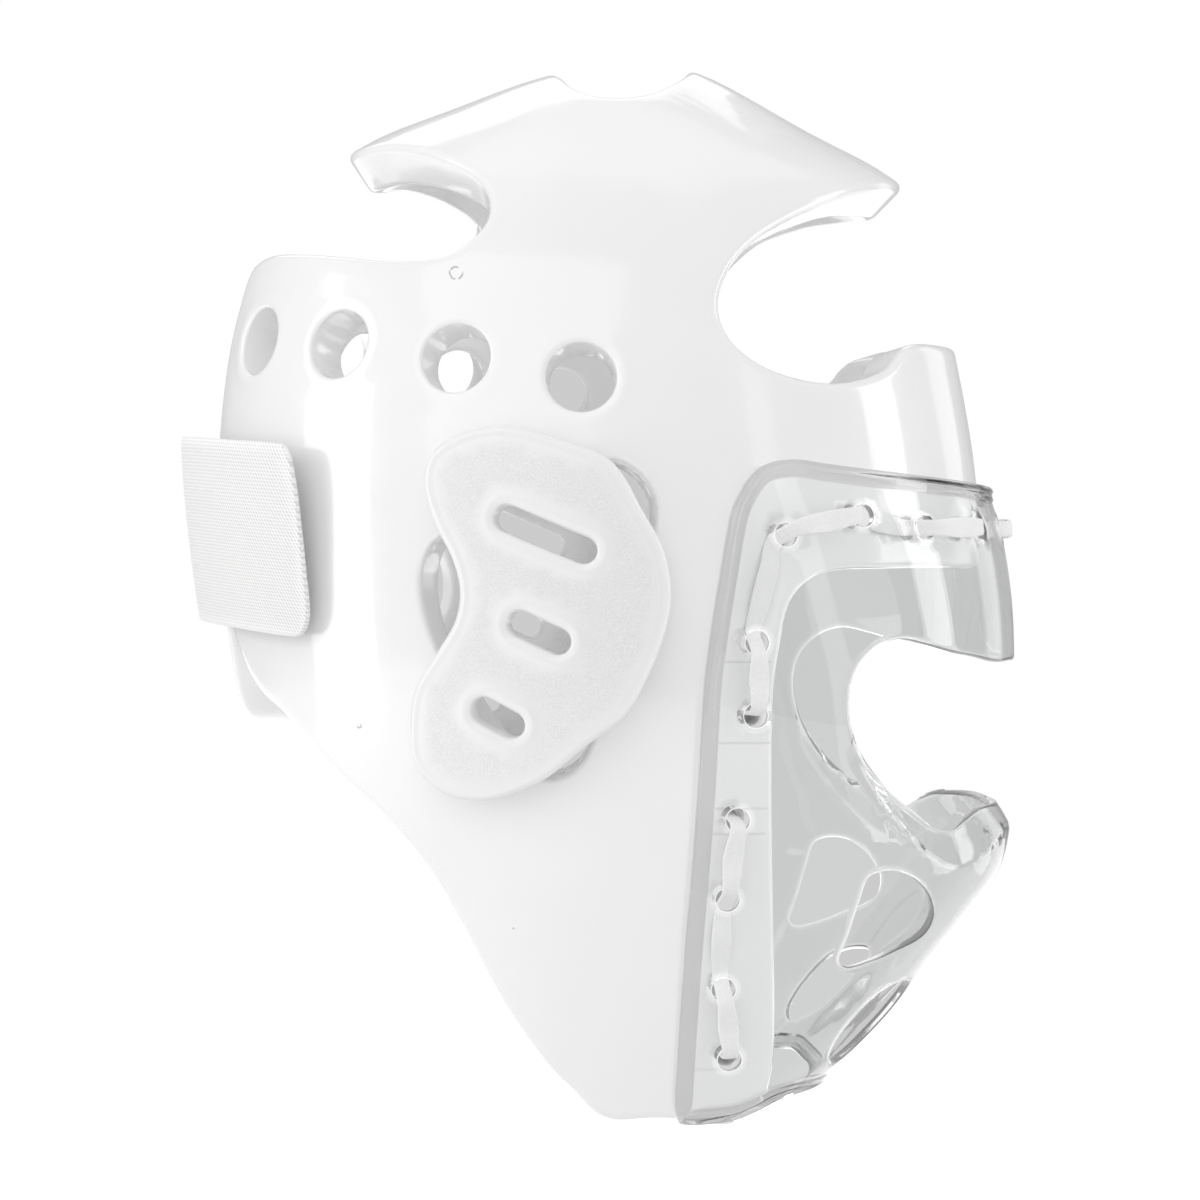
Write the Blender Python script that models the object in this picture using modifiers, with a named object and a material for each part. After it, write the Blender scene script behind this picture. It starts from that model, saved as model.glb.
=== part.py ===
"""Karate headgear: a dipped foam sparring head guard with a clear face shield laced to it.

The guard is in worn posture. X points forward out of the face, Y to the wearer's left and Z up,
and the origin is the wearer's crown, under the top opening. Sizes in the tables are millimetres.
A place on the foam is a bearing, in degrees round the head from the front, and a drop, in
millimetres down the outside of the head from the crown.
"""

import math

import bpy
import numpy as np
from mathutils.geometry import delaunay_2d_cdt

MM = 0.001

FOAM_THICKNESS = 12.5 * MM
FOAM_EDGE_RADIUS = 4.0 * MM
FOAM_SPACING = 16.0 * MM

COVER_THICKNESS = 8.0 * MM
COVER_EDGE_RADIUS = 2.2 * MM
COVER_GAP = 0.5 * MM

STRAP_THICKNESS = 2.0 * MM
STRAP_GAP = 0.5 * MM
STRAP_BULGE_TOP = 7.0 * MM
STRAP_BULGE_BOTTOM = 2.6 * MM

SHIELD_WALL = 2.0 * MM
SHIELD_STANDOFF = 2.3 * MM
SHIELD_SPACING = 14.5 * MM
SHIELD_CENTRE_X = -5.0 * MM
SHIELD_LACED_X = 20.0 * MM

LACE_WIDTH = 5.4 * MM
LACE_THICKNESS = 1.1 * MM
LACE_CLEARANCE = 0.7 * MM
LACE_HOLE_RADIUS = 4.1 * MM
LACE_STEP = 8.0 * MM

VENT_RADIUS = 9.2 * MM

# The foam's outer form, ring by ring down the head: drop, front x and z, back x and z, side y and z.
FOAM_RINGS = [
    (0, 3, 17.5, 1, 17.5, 1, 17.5),
    (22, 22, 16.0, -20, 15.5, 21, 10.5),
    (42, 50, 0.8, -45, 6.5, 37, 1.5),
    (62, 76.5, -14.5, -70, -4, 53, -12),
    (84, 85, -36, -94, -24, 67, -30),
    (112, 91, -62, -103.8, -49, 78, -56),
    (146, 96, -92, -108.8, -83, 84.5, -89),
    (177, 98, -122, -109, -113, 86.5, -120),
    (212, 99, -155, -107, -146, 86, -155),
    (253, 99, -195, -103, -190, 80, -195),
    (294, 98, -235, -98, -232, 70, -235),
    (330, 96, -272, -95, -270, 60, -270),
]

# Outlines on the foam, given for one half of the head from the face to the back: bearing, drop.
# The foam's own outline is the front and cheek, then the rear flap's lower corner, then the rear.
CHEEK_OUTLINE = [
    (0, 172),
    (18, 172),
    (34, 172),
    (47, 172.5),
    (55, 173),
    (60, 175),
    (64, 181),
    (66, 192),
    (67.5, 208),
    (68, 235),
    (68, 265),
    (67.8, 295),
    (68.5, 309),
    (71, 317),
    (78, 320),
    (87, 319.5),
    (93, 320),
    (96.5, 317.5),
    (99.5, 312),
    (104, 304),
    (110.5, 287.5),
    (116, 268),
    (121, 253),
    (128, 240.5),
]

RIGHT_FLAP_CORNER = [
    (136, 231.5),
    (143, 223.5),
    (148.7, 217.8),
    (154.5, 214),
    (159.3, 208.5),
    (164, 200),
    (168.5, 189),
    (171.5, 175),
]

# The left rear flap hangs lower and has a squarer corner.
LEFT_FLAP_CORNER = [
    (136, 233.5),
    (143, 228.5),
    (150, 226),
    (157, 224.5),
    (163, 222),
    (166.7, 216),
    (168.8, 207),
    (170.8, 195),
    (172.3, 180),
]

REAR_OUTLINE = [
    (173, 150),
    (173, 122),
    (172.5, 107),
    (169, 98),
    (161, 94),
    (150, 93),
    (139, 93),
    (129, 93.5),
    (121, 92.5),
    (116.5, 90),
    (114, 85),
    (113.5, 80),
    (116, 74),
    (121.5, 68.5),
    (130, 64.5),
    (144, 61.5),
    (157, 61.5),
    (168, 64),
    (180, 65),
]

FRONT_NOTCH = [
    (0, 62),
    (14, 62.5),
    (27, 64),
    (40, 66.5),
    (50, 70.5),
    (58, 75.5),
    (65, 82.5),
    (70, 91),
    (72.5, 99),
    (73, 106),
    (71, 113.5),
    (66, 119.5),
    (59, 122.5),
    (52, 122.5),
    (45.5, 120),
    (40.5, 116.5),
    (36.5, 111.5),
    (31, 108.5),
    (20, 107.5),
    (0, 107),
]

TOP_HOLE = [
    (0, 18.3),
    (20, 18.7),
    (35, 19.6),
    (50, 20.6),
    (65, 22.2),
    (80, 25),
    (95, 27),
    (110, 27),
    (128, 24),
    (145, 21),
    (160, 19.8),
    (180, 19.3),
]

# Closed outlines on each side of the head: bearing, drop.
EAR_OPENING = [
    (91, 146),
    (87.5, 147.5),
    (84.8, 153),
    (84.2, 160),
    (86, 172),
    (88.5, 188),
    (92, 204),
    (94.5, 216),
    (96.5, 223),
    (100, 227),
    (104, 225.5),
    (108, 218),
    (112, 208.5),
    (116.5, 196.5),
    (118.5, 186),
    (118.8, 177),
    (117.5, 170),
    (115, 166),
    (107, 157.5),
    (98, 150.5),
]

EAR_COVER = [
    (104.8, 138),
    (98, 140.8),
    (90.4, 146.8),
    (86.3, 159.5),
    (83.8, 168.5),
    (83, 179),
    (83.8, 188),
    (86.2, 199),
    (89.8, 209.8),
    (95.5, 218),
    (100.8, 226),
    (105, 230),
    (109.1, 232.4),
    (113.7, 232.3),
    (117.4, 229.2),
    (119.6, 224),
    (120, 216.5),
    (118.8, 205.5),
    (115.4, 196.2),
    (112.4, 187.5),
    (111.6, 179.5),
    (112.6, 171.6),
    (114.8, 163.5),
    (116.4, 154.5),
    (115.8, 147),
    (113, 142),
    (109.2, 139.2),
]

# Ear cover slots: bearing and drop of the two end centres, and the half width.
COVER_SLOTS = [
    (104.6, 161.2, 94.5, 168.8, 3.5),
    (103.3, 187.5, 98.4, 191.7, 3.4),
    (108.8, 209.6, 105.2, 212.9, 3.5),
]

VENT_CENTRES = [(157.1, 118.7), (135.3, 117.8), (113.8, 119.5), (94.5, 123.6)]

# Half of the strap's outline, from one end to the mid-plane of the back: bearing, drop.
STRAP_TOP_DROP = 145.4
STRAP_BOTTOM_DROP = 196.0
STRAP_END = [(139, 147.2), (137.7, 155), (137.2, 165), (137, 178), (137.1, 189), (138.8, 194.8)]

# The shield's outer form: z, front x, and how square the front turns (2 is an ellipse).
SHIELD_RINGS = [
    (-80, 94.5, 2.15),
    (-95, 98.8, 2.15),
    (-105, 102, 2.2),
    (-122, 105, 2.3),
    (-142, 105.7, 2.5),
    (-165, 104.2, 2.7),
    (-184, 104.2, 2.9),
    (-197, 100.7, 3.1),
    (-208, 92.4, 3.3),
    (-220, 82, 3.6),
    (-236, 69, 3.9),
    (-248, 56.5, 4.1),
    (-257, 45, 4.2),
    (-266, 34, 4.2),
]

# The lip under the nose opening leans in from a crease: bearing, z of the crease, z of the opening's edge.
SHIELD_LIP_LEAN = 5.0
SHIELD_LIP = [
    (0, -187, -178.5),
    (23.5, -187, -179.3),
    (29.5, -191, -181.8),
    (34, -194, -184.5),
    (39.5, -191.5, -180.7),
    (44.5, -184, -175),
    (48.5, -176, -168.5),
    (54, -166, -160),
    (60, -160, -155),
]

# Half of the shield's outline, from the mid-plane of the visor to that of the chin: bearing, z.
SHIELD_OUTLINE = [
    (0, -95.5),
    (18, -94.5),
    (42, -91.5),
    (54, -89.5),
    (60, -88.3),
    (64.5, -89),
    (67.5, -91.5),
    (70, -96.5),
    (71.8, -103),
    (73.6, -117),
    (75.5, -135),
    (76.5, -150),
    (77, -180),
    (77.5, -215),
    (77.3, -245),
    (76.8, -258),
    (75, -260.5),
    (70, -260.5),
    (64, -259.5),
    (59, -257),
    (54.5, -254.3),
    (47, -252.8),
    (35, -252),
    (15, -252),
    (0, -252),
]

NOSE_OPENING = [
    (0, -141.5),
    (12, -141.5),
    (23.5, -141.5),
    (31, -139.5),
    (36, -138),
    (41, -135.8),
    (45.5, -134.5),
    (49.7, -137),
    (52.7, -142.5),
    (53.8, -150.5),
    (52.7, -160),
    (48.8, -168.5),
    (43, -176.5),
    (39.5, -180.7),
    (36.5, -184),
    (33, -184.5),
    (29.5, -181.8),
    (24, -179.3),
    (12, -178.5),
    (0, -178.5),
]

SHIELD_VENT = [
    (48.1, -194.8),
    (49.6, -196.6),
    (50.2, -202.7),
    (50.8, -211.6),
    (51.4, -217.6),
    (49.7, -219.6),
    (45.8, -218),
    (41.8, -215.4),
    (37.9, -212.6),
    (36.5, -209.6),
    (37.3, -205),
    (40.1, -199.7),
    (43.2, -195.8),
    (45.8, -194.5),
]

CHIN_VENT = [
    (31, -225.5),
    (37, -225.2),
    (41.3, -227.5),
    (44.3, -232.5),
    (46.3, -238.5),
    (46, -243.5),
    (42.5, -246),
    (37, -244),
    (31.5, -238.5),
    (28.5, -231),
]

# The lace from the mid-plane of the visor down one side: bearing, drop, and where it runs there.
# It goes over the shield, under it on the foam, inside the foam, and at the end round the foam's lower rim.
LACE_ROUTE = [
    (0, 161.5, "over"),
    (10, 161.5, "hole"),
    (18, 161.5, "under"),
    (26.3, 161.5, "hole"),
    (34, 161.8, "over"),
    (41.8, 162, "hole"),
    (47, 161, "under"),
    (53.5, 159.3, "hole"),
    (59.5, 161, "over"),
    (66, 164.5, "hole"),
    (68, 173, "under"),
    (69.6, 182, "under"),
    (71, 192, "hole"),
    (71.2, 201, "over"),
    (71.6, 210.5, "hole_through"),
    (73, 223, "inside"),
    (74.5, 237.5, "hole_through"),
    (75.5, 247, "over"),
    (76.2, 258.5, "hole"),
    (76.8, 270, "under"),
    (77, 282.5, "hole"),
    (76.5, 292, "over"),
    (76, 301.5, "hole_through"),
    (76, 309.5, "inside"),
    (76, 316.5, "inside"),
    (76, 320.1, "rim_inner"),
    (76, 322, "rim"),
    (76, 320.1, "rim_outer"),
]

WHITE_VINYL = (0.86, 0.86, 0.86, 1.0)
WHITE_CLOTH = (0.9, 0.9, 0.9, 1.0)
CLEAR_PLASTIC = (0.8, 0.82, 0.83, 1.0)


def smooth_rows(table, at):
    """A smooth curve through a table's rows, read at given values of its first column."""
    table = np.asarray(table, float)
    x = table[:, 0]
    y = table[:, 1:]
    step = np.diff(x)[:, None]
    slope = np.diff(y, axis=0) / step
    middle = (slope[1:] * step[:-1] + slope[:-1] * step[1:]) / (step[1:] + step[:-1])
    slope = np.vstack([slope[:1], middle, slope[-1:]])
    at = np.asarray(at, float)
    row = np.clip(np.searchsorted(x, at) - 1, 0, len(x) - 2)
    width = (x[row + 1] - x[row])[..., None]
    s = ((at - x[row]) / (x[row + 1] - x[row]))[..., None]
    start = y[row] * (2 * s**3 - 3 * s**2 + 1) + width * slope[row] * (s**3 - 2 * s**2 + s)
    end = y[row + 1] * (3 * s**2 - 2 * s**3) + width * slope[row + 1] * (s**3 - s**2)
    return start + end


def foam_form(bearing, drop):
    """Points on the foam's outer form, in metres."""
    ring = smooth_rows(FOAM_RINGS, drop)
    front_x, front_z, back_x, back_z, side_y, side_z = np.moveaxis(ring, -1, 0)
    cosine = np.cos(np.radians(bearing))
    sine = np.sin(np.radians(bearing))
    middle = (front_x + back_x) / 2
    reach = (front_x - back_x) / 2
    end_z = np.where(cosine > 0, front_z, back_z)
    x = middle + reach * cosine
    y = side_y * sine
    z = side_z + (end_z - side_z) * cosine**2
    return np.stack([x, y, z], -1) * MM


def tangents(form, u, v):
    """The form's two tangent vectors at each place, per degree or millimetre."""
    step = 0.01
    along_u = (form(u + step, v) - form(u - step, v)) / (2 * step)
    along_v = (form(u, v + step) - form(u, v - step)) / (2 * step)
    return along_u, along_v


def foam_normal(bearing, drop):
    along_u, along_v = tangents(foam_form, bearing, drop)
    normal = np.cross(along_v, along_u)
    return normal / np.linalg.norm(normal, axis=-1, keepdims=True)


def raised_foam(height):
    """The foam's form moved outwards by a height, or by a function of bearing and drop."""

    def form(bearing, drop):
        rise = height(bearing, drop) if callable(height) else height
        rise = np.broadcast_to(rise, np.shape(bearing + drop * 0))[..., None]
        return foam_form(bearing, drop) + foam_normal(bearing, drop) * rise

    return form


def foam_half_width(x, z):
    """The foam's outer half width at a point of the side view, all in millimetres."""
    bearing = np.full(np.shape(z), 70.0)
    drop = 90.0 - np.asarray(z, float) * 0.9
    for _ in range(12):
        found = foam_form(bearing, drop) / MM
        error = np.stack([x - found[..., 0], z - found[..., 2]], -1)
        along_u, along_v = tangents(foam_form, bearing, drop)
        matrix = np.stack([along_u[..., [0, 2]], along_v[..., [0, 2]]], -1) / MM
        move = np.linalg.solve(matrix, error[..., None])[..., 0]
        bearing = bearing + np.clip(move[..., 0], -8, 8)
        drop = drop + np.clip(move[..., 1], -25, 25)
    return foam_form(bearing, drop)[..., 1] / MM


def lip_lean(bearing, z):
    """How far the lip under the nose opening leans in at a place on the shield."""
    crease, edge = np.moveaxis(smooth_rows(SHIELD_LIP, np.minimum(bearing, 60)), -1, 0)
    above_crease = np.clip((z - crease) / (edge - crease), 0, 1)
    beside = np.clip((53 - bearing) / 8, 0, 1)
    below_visor = np.clip((-146 - z) / 12, 0, 1)
    return SHIELD_LIP_LEAN * above_crease * beside * below_visor


def shield_form(bearing, z):
    """Points on the shield's outer form. Its sides stand off the foam, and its front is rounder."""
    bearing, z = np.broadcast_arrays(np.asarray(bearing, float), np.asarray(z, float))
    front_x, power = np.moveaxis(smooth_rows(SHIELD_RINGS[::-1], z), -1, 0)
    centre_x = SHIELD_CENTRE_X / MM
    laced_x = SHIELD_LACED_X / MM
    reach = front_x - centre_x
    heights = np.linspace(-268, -78, 40)
    beside = np.interp(z, heights, foam_half_width(np.full(40, laced_x), heights))
    beside = beside + (SHIELD_STANDOFF + SHIELD_WALL) / MM
    side_y = beside / (1 - ((laced_x - centre_x) / reach) ** power) ** (1 / power)
    cosine = np.cos(np.radians(bearing))
    sine = np.sin(np.radians(bearing))
    ray = ((np.abs(cosine) / reach) ** power + (np.abs(sine) / side_y) ** power) ** (-1 / power)
    ray = ray - lip_lean(np.abs(bearing), z)
    return np.stack([centre_x + ray * cosine, ray * sine, z], -1) * MM


def foam_chart(bearing, drop):
    """A flat map of the foam, seen from the crown, that keeps the shapes of small triangles."""
    radius = np.exp(drop / 85.0)
    return np.stack([radius * np.cos(np.radians(bearing)), radius * np.sin(np.radians(bearing))], -1)


def shield_chart(bearing, z):
    return np.stack([bearing * 1.6, z + bearing * 0], -1)


def mirrored(half):
    """A closed outline from its left half, which starts and ends on the mid-plane."""
    half = np.asarray(half, float)
    return np.vstack([half, half[-2:0:-1] * (-1, 1)])


def unwound(rows):
    """The rows with bearings that run on past the back of the head, with no jump there."""
    return np.stack([np.unwrap(rows[:, 0], period=360), rows[:, 1]], -1)


def closed_curve(rows, density=12):
    """A smooth closed curve through the rows of an outline."""
    rows = np.asarray(rows, float)
    rows = unwound(np.vstack([rows[-1:], rows, rows[:2]]))
    s = np.linspace(0, 1, density, endpoint=False)[None, :, None]
    a, b, c, d = rows[:-3, None], rows[1:-2, None], rows[2:-1, None], rows[3:, None]
    curve = 0.5 * (2 * b + (c - a) * s + (2 * a - 5 * b + 4 * c - d) * s**2 + (3 * b - a - 3 * c + d) * s**3)
    return curve.reshape(-1, 2)


def even_loop(form, curve, spacing):
    """The closed curve resampled at even distances along the form."""
    ring = unwound(np.vstack([curve, curve[:1]]))
    points = form(ring[:, 0], ring[:, 1])
    length = np.concatenate([[0], np.cumsum(np.linalg.norm(np.diff(points, axis=0), axis=1))])
    count = max(12, round(length[-1] / spacing))
    at = np.linspace(0, length[-1], count, endpoint=False)
    return np.stack([np.interp(at, length, ring[:, 0]), np.interp(at, length, ring[:, 1])], -1)


def moved_on(form, places, steps):
    """Places on the form after moving each by a short vector in space."""
    along_u, along_v = tangents(form, places[:, 0], places[:, 1])
    matrix = np.stack([along_u, along_v], -1)
    return places + np.einsum("nij,nj->ni", np.linalg.pinv(matrix), steps)


def circle_on(form, centre, radius, count=16):
    """A round outline of a true radius about a place on the form."""
    place = np.repeat([centre], count, axis=0).astype(float)
    along_u, along_v = tangents(form, place[:, 0], place[:, 1])
    first = along_u / np.linalg.norm(along_u, axis=1, keepdims=True)
    second = along_v - first * np.sum(along_v * first, axis=1, keepdims=True)
    second /= np.linalg.norm(second, axis=1, keepdims=True)
    angle = np.linspace(0, 2 * math.pi, count, endpoint=False)[:, None]
    return moved_on(form, place, radius * (first * np.cos(angle) + second * np.sin(angle)))


def slot_on(form, row, side):
    """A round-ended slot about a line between two places on the form."""
    bearing_a, drop_a, bearing_b, drop_b, half_width = row
    ends = np.array([(bearing_a * side, drop_a), (bearing_b * side, drop_b)], float)
    points = form(ends[:, 0], ends[:, 1])
    along = (points[1] - points[0]) / np.linalg.norm(points[1] - points[0])
    outline = []
    for place, point, sign in ((ends[0], points[0], -1), (ends[1], points[1], 1)):
        across = np.cross(surface_normal(form, place[0], place[1]), along)
        for angle in np.radians([-90, -54, -18, 18, 54, 90]):
            step = half_width * MM * sign * (along * math.cos(angle) + across * math.sin(angle))
            outline.append(moved_on(form, place[None], step[None])[0])
    return np.array(outline)


def surface_normal(form, u, v):
    along_u, along_v = tangents(form, np.asarray(u, float), np.asarray(v, float))
    normal = np.cross(along_u, along_v)
    return normal / np.linalg.norm(normal, axis=-1, keepdims=True)


def signed_area(flat):
    return 0.5 * np.sum(flat[:, 0] * np.roll(flat[:, 1], -1) - np.roll(flat[:, 0], -1) * flat[:, 1])


def inset_loop(form, chart, loop, width, is_hole):
    """The loop turned so that material is on its left, and the loop moved into the material."""
    if (signed_area(chart(loop[:, 0], loop[:, 1])) < 0) != is_hole:
        loop = loop[::-1].copy()
    points = form(loop[:, 0], loop[:, 1])
    ahead = np.roll(points, -1, axis=0) - np.roll(points, 1, axis=0)
    ahead /= np.linalg.norm(ahead, axis=1, keepdims=True)
    left = np.cross(surface_normal(form, loop[:, 0], loop[:, 1]), ahead)
    probe = moved_on(form, loop, left * 0.1 * MM)
    base = chart(loop[:, 0], loop[:, 1])
    turn = np.roll(base, -1, axis=0) - np.roll(base, 1, axis=0)
    step = chart(probe[:, 0], probe[:, 1]) - base
    if np.sum(turn[:, 0] * step[:, 1] - turn[:, 1] * step[:, 0]) < 0:
        left = -left
    return loop, moved_on(form, loop, left * width)


def inside_loops(flat, loops):
    """Whether each flat point is inside an odd number of the closed loops."""
    inside = np.zeros(len(flat), bool)
    for loop in loops:
        for (x0, y0), (x1, y1) in zip(loop, np.roll(loop, -1, axis=0)):
            if y0 == y1:
                continue
            crosses = (y0 > flat[:, 1]) != (y1 > flat[:, 1])
            inside ^= crosses & (flat[:, 0] < (x1 - x0) * (flat[:, 1] - y0) / (y1 - y0) + x0)
    return inside


def rows_of_places(form, u_range, v_range, spacing):
    """Staggered rows of places over part of the form, about one spacing apart."""
    places = []
    row = 0
    v = v_range[0]
    while v <= v_range[1]:
        row += 1
        u = u_range[0] + (row % 2) * 0.01
        middle = (u_range[0] + u_range[1]) / 2
        across, down = tangents(form, np.array([middle, 90.0]), np.array([v, v]))
        count = max(3, round((u_range[1] - u_range[0]) * np.linalg.norm(across, axis=1).mean() / spacing))
        step = (u_range[1] - u_range[0]) / count
        for index in range(count):
            places.append((u + step * (index + 0.5 * (row % 2)), v))
        v += 0.87 * spacing / max(MM, np.linalg.norm(down, axis=1).mean())
    return np.array(places)


def open_sheet(form, chart, outline, holes, spacing, rim, area):
    """Points and faces of the form inside an outline and outside its holes, with quads along each rim."""
    curves = [(outline, False)] + [(hole, True) for hole in holes]
    loops, insets = [], []
    for curve, is_hole in curves:
        loop, inset = inset_loop(form, chart, even_loop(form, curve, spacing), rim, is_hole)
        loops.append(loop)
        insets.append(inset)
    flat_insets = [chart(inset[:, 0], inset[:, 1]) for inset in insets]
    inner = rows_of_places(form, area[0], area[1], spacing)
    inner = inner[inside_loops(chart(inner[:, 0], inner[:, 1]), flat_insets)]
    border = np.vstack(insets)
    border_points = form(border[:, 0], border[:, 1])
    inner_points = form(inner[:, 0], inner[:, 1])
    gap = np.linalg.norm(inner_points[:, None] - border_points[None], axis=2).min(axis=1)
    inner = inner[gap > 0.62 * spacing]

    places = np.vstack([border, inner])
    edges = []
    start = 0
    for inset in insets:
        edges += [(start + i, start + (i + 1) % len(inset)) for i in range(len(inset))]
        start += len(inset)
    flat = chart(places[:, 0], places[:, 1])
    scale = np.abs(flat).max()
    found = delaunay_2d_cdt([tuple(p) for p in flat / scale], edges, [], 0, 1e-9)
    origin = [ids[0] for ids in found[3]]
    triangles = np.array([[origin[i] for i in face] for face in found[2]])
    centres = flat[triangles].mean(axis=1)
    triangles = triangles[inside_loops(centres, flat_insets)]

    rim_start = len(places)
    faces = [tuple(int(i) for i in face) for face in triangles]
    start = 0
    for loop in loops:
        for i in range(len(loop)):
            j = (i + 1) % len(loop)
            faces.append((start + i, rim_start + start + i, rim_start + start + j, start + j))
        start += len(loop)
    places = np.vstack([places] + loops)
    return form(places[:, 0], places[:, 1]), faces


def material(name, colour, roughness, transmission=0.0):
    made = bpy.data.materials.new(name)
    made.use_nodes = True
    shader = made.node_tree.nodes["Principled BSDF"]
    shader.inputs["Base Color"].default_value = colour
    shader.inputs["Roughness"].default_value = roughness
    shader.inputs["Transmission Weight"].default_value = transmission
    return made


def add_object(name, points, faces, finish, collection):
    """A mesh object with its faces turned to point outwards from the head."""
    mesh = bpy.data.meshes.new(name)
    mesh.from_pydata([tuple(p) for p in points], [], faces)
    mesh.materials.append(finish)
    mesh.validate()
    obj = bpy.data.objects.new(name, mesh)
    collection.objects.link(obj)
    centre = np.array([0.0, 0.0, -130 * MM])
    outwards = sum(
        np.dot(np.array(face.normal), np.array(face.center) - centre) * face.area for face in mesh.polygons
    )
    if outwards < 0:
        mesh.flip_normals()
    mesh.shade_smooth()
    return obj


def thicken(obj, thickness, edge_radius, segments):
    """Gives an open sheet its thickness, inwards, and rounds its edges."""
    solidify = obj.modifiers.new("thickness", "SOLIDIFY")
    solidify.thickness = thickness
    solidify.offset = -1
    solidify.use_even_offset = True
    if edge_radius:
        bevel = obj.modifiers.new("rounded edges", "BEVEL")
        bevel.width = edge_radius
        bevel.segments = segments
        bevel.limit_method = "ANGLE"
        bevel.angle_limit = math.radians(60)
        bevel.use_clamp_overlap = False


def cut(obj, cutter):
    boolean = obj.modifiers.new("lace holes", "BOOLEAN")
    boolean.operation = "DIFFERENCE"
    boolean.object = cutter
    boolean.solver = "EXACT"


def foam_outline():
    """The foam's outline all round, from the middle of the forehead down the left cheek."""
    left = np.array(CHEEK_OUTLINE + LEFT_FLAP_CORNER + REAR_OUTLINE, float)
    right = np.array(CHEEK_OUTLINE + RIGHT_FLAP_CORNER + REAR_OUTLINE, float)
    return np.vstack([left, right[-2:0:-1] * (-1, 1)])


def make_foam(finish, collection):
    holes = [closed_curve(mirrored(FRONT_NOTCH)), closed_curve(mirrored(TOP_HOLE))]
    for side in (-1, 1):
        holes.append(closed_curve(np.array(EAR_OPENING) * (side, 1)))
        for centre in VENT_CENTRES:
            holes.append(circle_on(foam_form, (centre[0] * side, centre[1]), VENT_RADIUS))
    points, faces = open_sheet(
        foam_form,
        foam_chart,
        closed_curve(foam_outline()),
        holes,
        FOAM_SPACING,
        FOAM_EDGE_RADIUS * 1.2,
        ((-180, 180), (14, 322)),
    )
    foam = add_object("foam_shell", points, faces, finish, collection)
    thicken(foam, FOAM_THICKNESS, FOAM_EDGE_RADIUS, 2)
    return foam


def make_cover(name, side, finish, collection):
    form = raised_foam(COVER_GAP + COVER_THICKNESS)
    points, faces = open_sheet(
        form,
        foam_chart,
        closed_curve(np.array(EAR_COVER) * (side, 1)),
        [slot_on(form, row, side) for row in COVER_SLOTS],
        10.0 * MM,
        COVER_EDGE_RADIUS * 1.2,
        (sorted((80 * side, 126 * side)), (134, 238)),
    )
    cover = add_object(name, points, faces, finish, collection)
    thicken(cover, COVER_THICKNESS, COVER_EDGE_RADIUS, 1)
    return cover


def strap_rise(bearing, drop):
    """How far the strap's outer face stands off the foam: it bridges the open back in a flatter curve."""
    behind = np.clip((np.abs(bearing) - 148) / 26, 0, 1)
    down = np.clip((drop - STRAP_TOP_DROP) / (STRAP_BOTTOM_DROP - STRAP_TOP_DROP), 0, 1)
    bulge = STRAP_BULGE_TOP + (STRAP_BULGE_BOTTOM - STRAP_BULGE_TOP) * down
    return STRAP_GAP + STRAP_THICKNESS + bulge * behind**2 * (3 - 2 * behind)


def make_strap(finish, collection):
    """The strap is laid out by turning about the back, so that its outline doesn't cross the seam."""

    def form(turn, drop):
        return raised_foam(strap_rise)(180.0 - np.asarray(turn, float), drop)

    turns = [(180 - bearing, drop) for bearing, drop in STRAP_END]
    top = [(turn, STRAP_TOP_DROP) for turn in (-38, -26, -13, 0, 13, 26, 38)]
    bottom = [(turn, STRAP_BOTTOM_DROP) for turn in (38, 26, 13, 0, -13, -26, -38)]
    outline = top + turns + bottom + [(-turn, drop) for turn, drop in turns[::-1]]

    def chart(turn, drop):
        return np.stack([np.asarray(turn) * 1.7, -np.asarray(drop)], -1)

    points, faces = open_sheet(
        form, chart, closed_curve(outline), [], 13 * MM, 2.5 * MM, ((-42, 42), (150, 194))
    )
    strap = add_object("back_strap", points, faces, finish, collection)
    thicken(strap, STRAP_THICKNESS, 0, 1)
    return strap


def make_shield(finish, collection):
    holes = [closed_curve(mirrored(NOSE_OPENING))]
    for side in (-1, 1):
        holes.append(closed_curve(np.array(SHIELD_VENT) * (side, 1)))
        holes.append(closed_curve(np.array(CHIN_VENT) * (side, 1)))
    points, faces = open_sheet(
        shield_form,
        shield_chart,
        closed_curve(mirrored(SHIELD_OUTLINE)),
        holes,
        SHIELD_SPACING,
        2.5 * MM,
        ((-84, 84), (-262, -89)),
    )
    shield = add_object("face_shield", points, faces, finish, collection)
    thicken(shield, SHIELD_WALL, 0, 1)
    return shield


def shield_height(bearing, drop):
    """How far out along the foam's normal the shield's outer face lies."""
    base = foam_form(bearing, drop)
    normal = foam_normal(bearing, drop)
    height = np.full(np.shape(bearing), 5 * MM)
    for _ in range(4):
        point = base + normal * height[..., None]
        turn = np.degrees(np.arctan2(point[..., 1], point[..., 0] - SHIELD_CENTRE_X))
        on_shield = shield_form(turn, point[..., 2] / MM)
        height = height + np.sum((on_shield - point) * normal, axis=-1)
    return height


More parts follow.
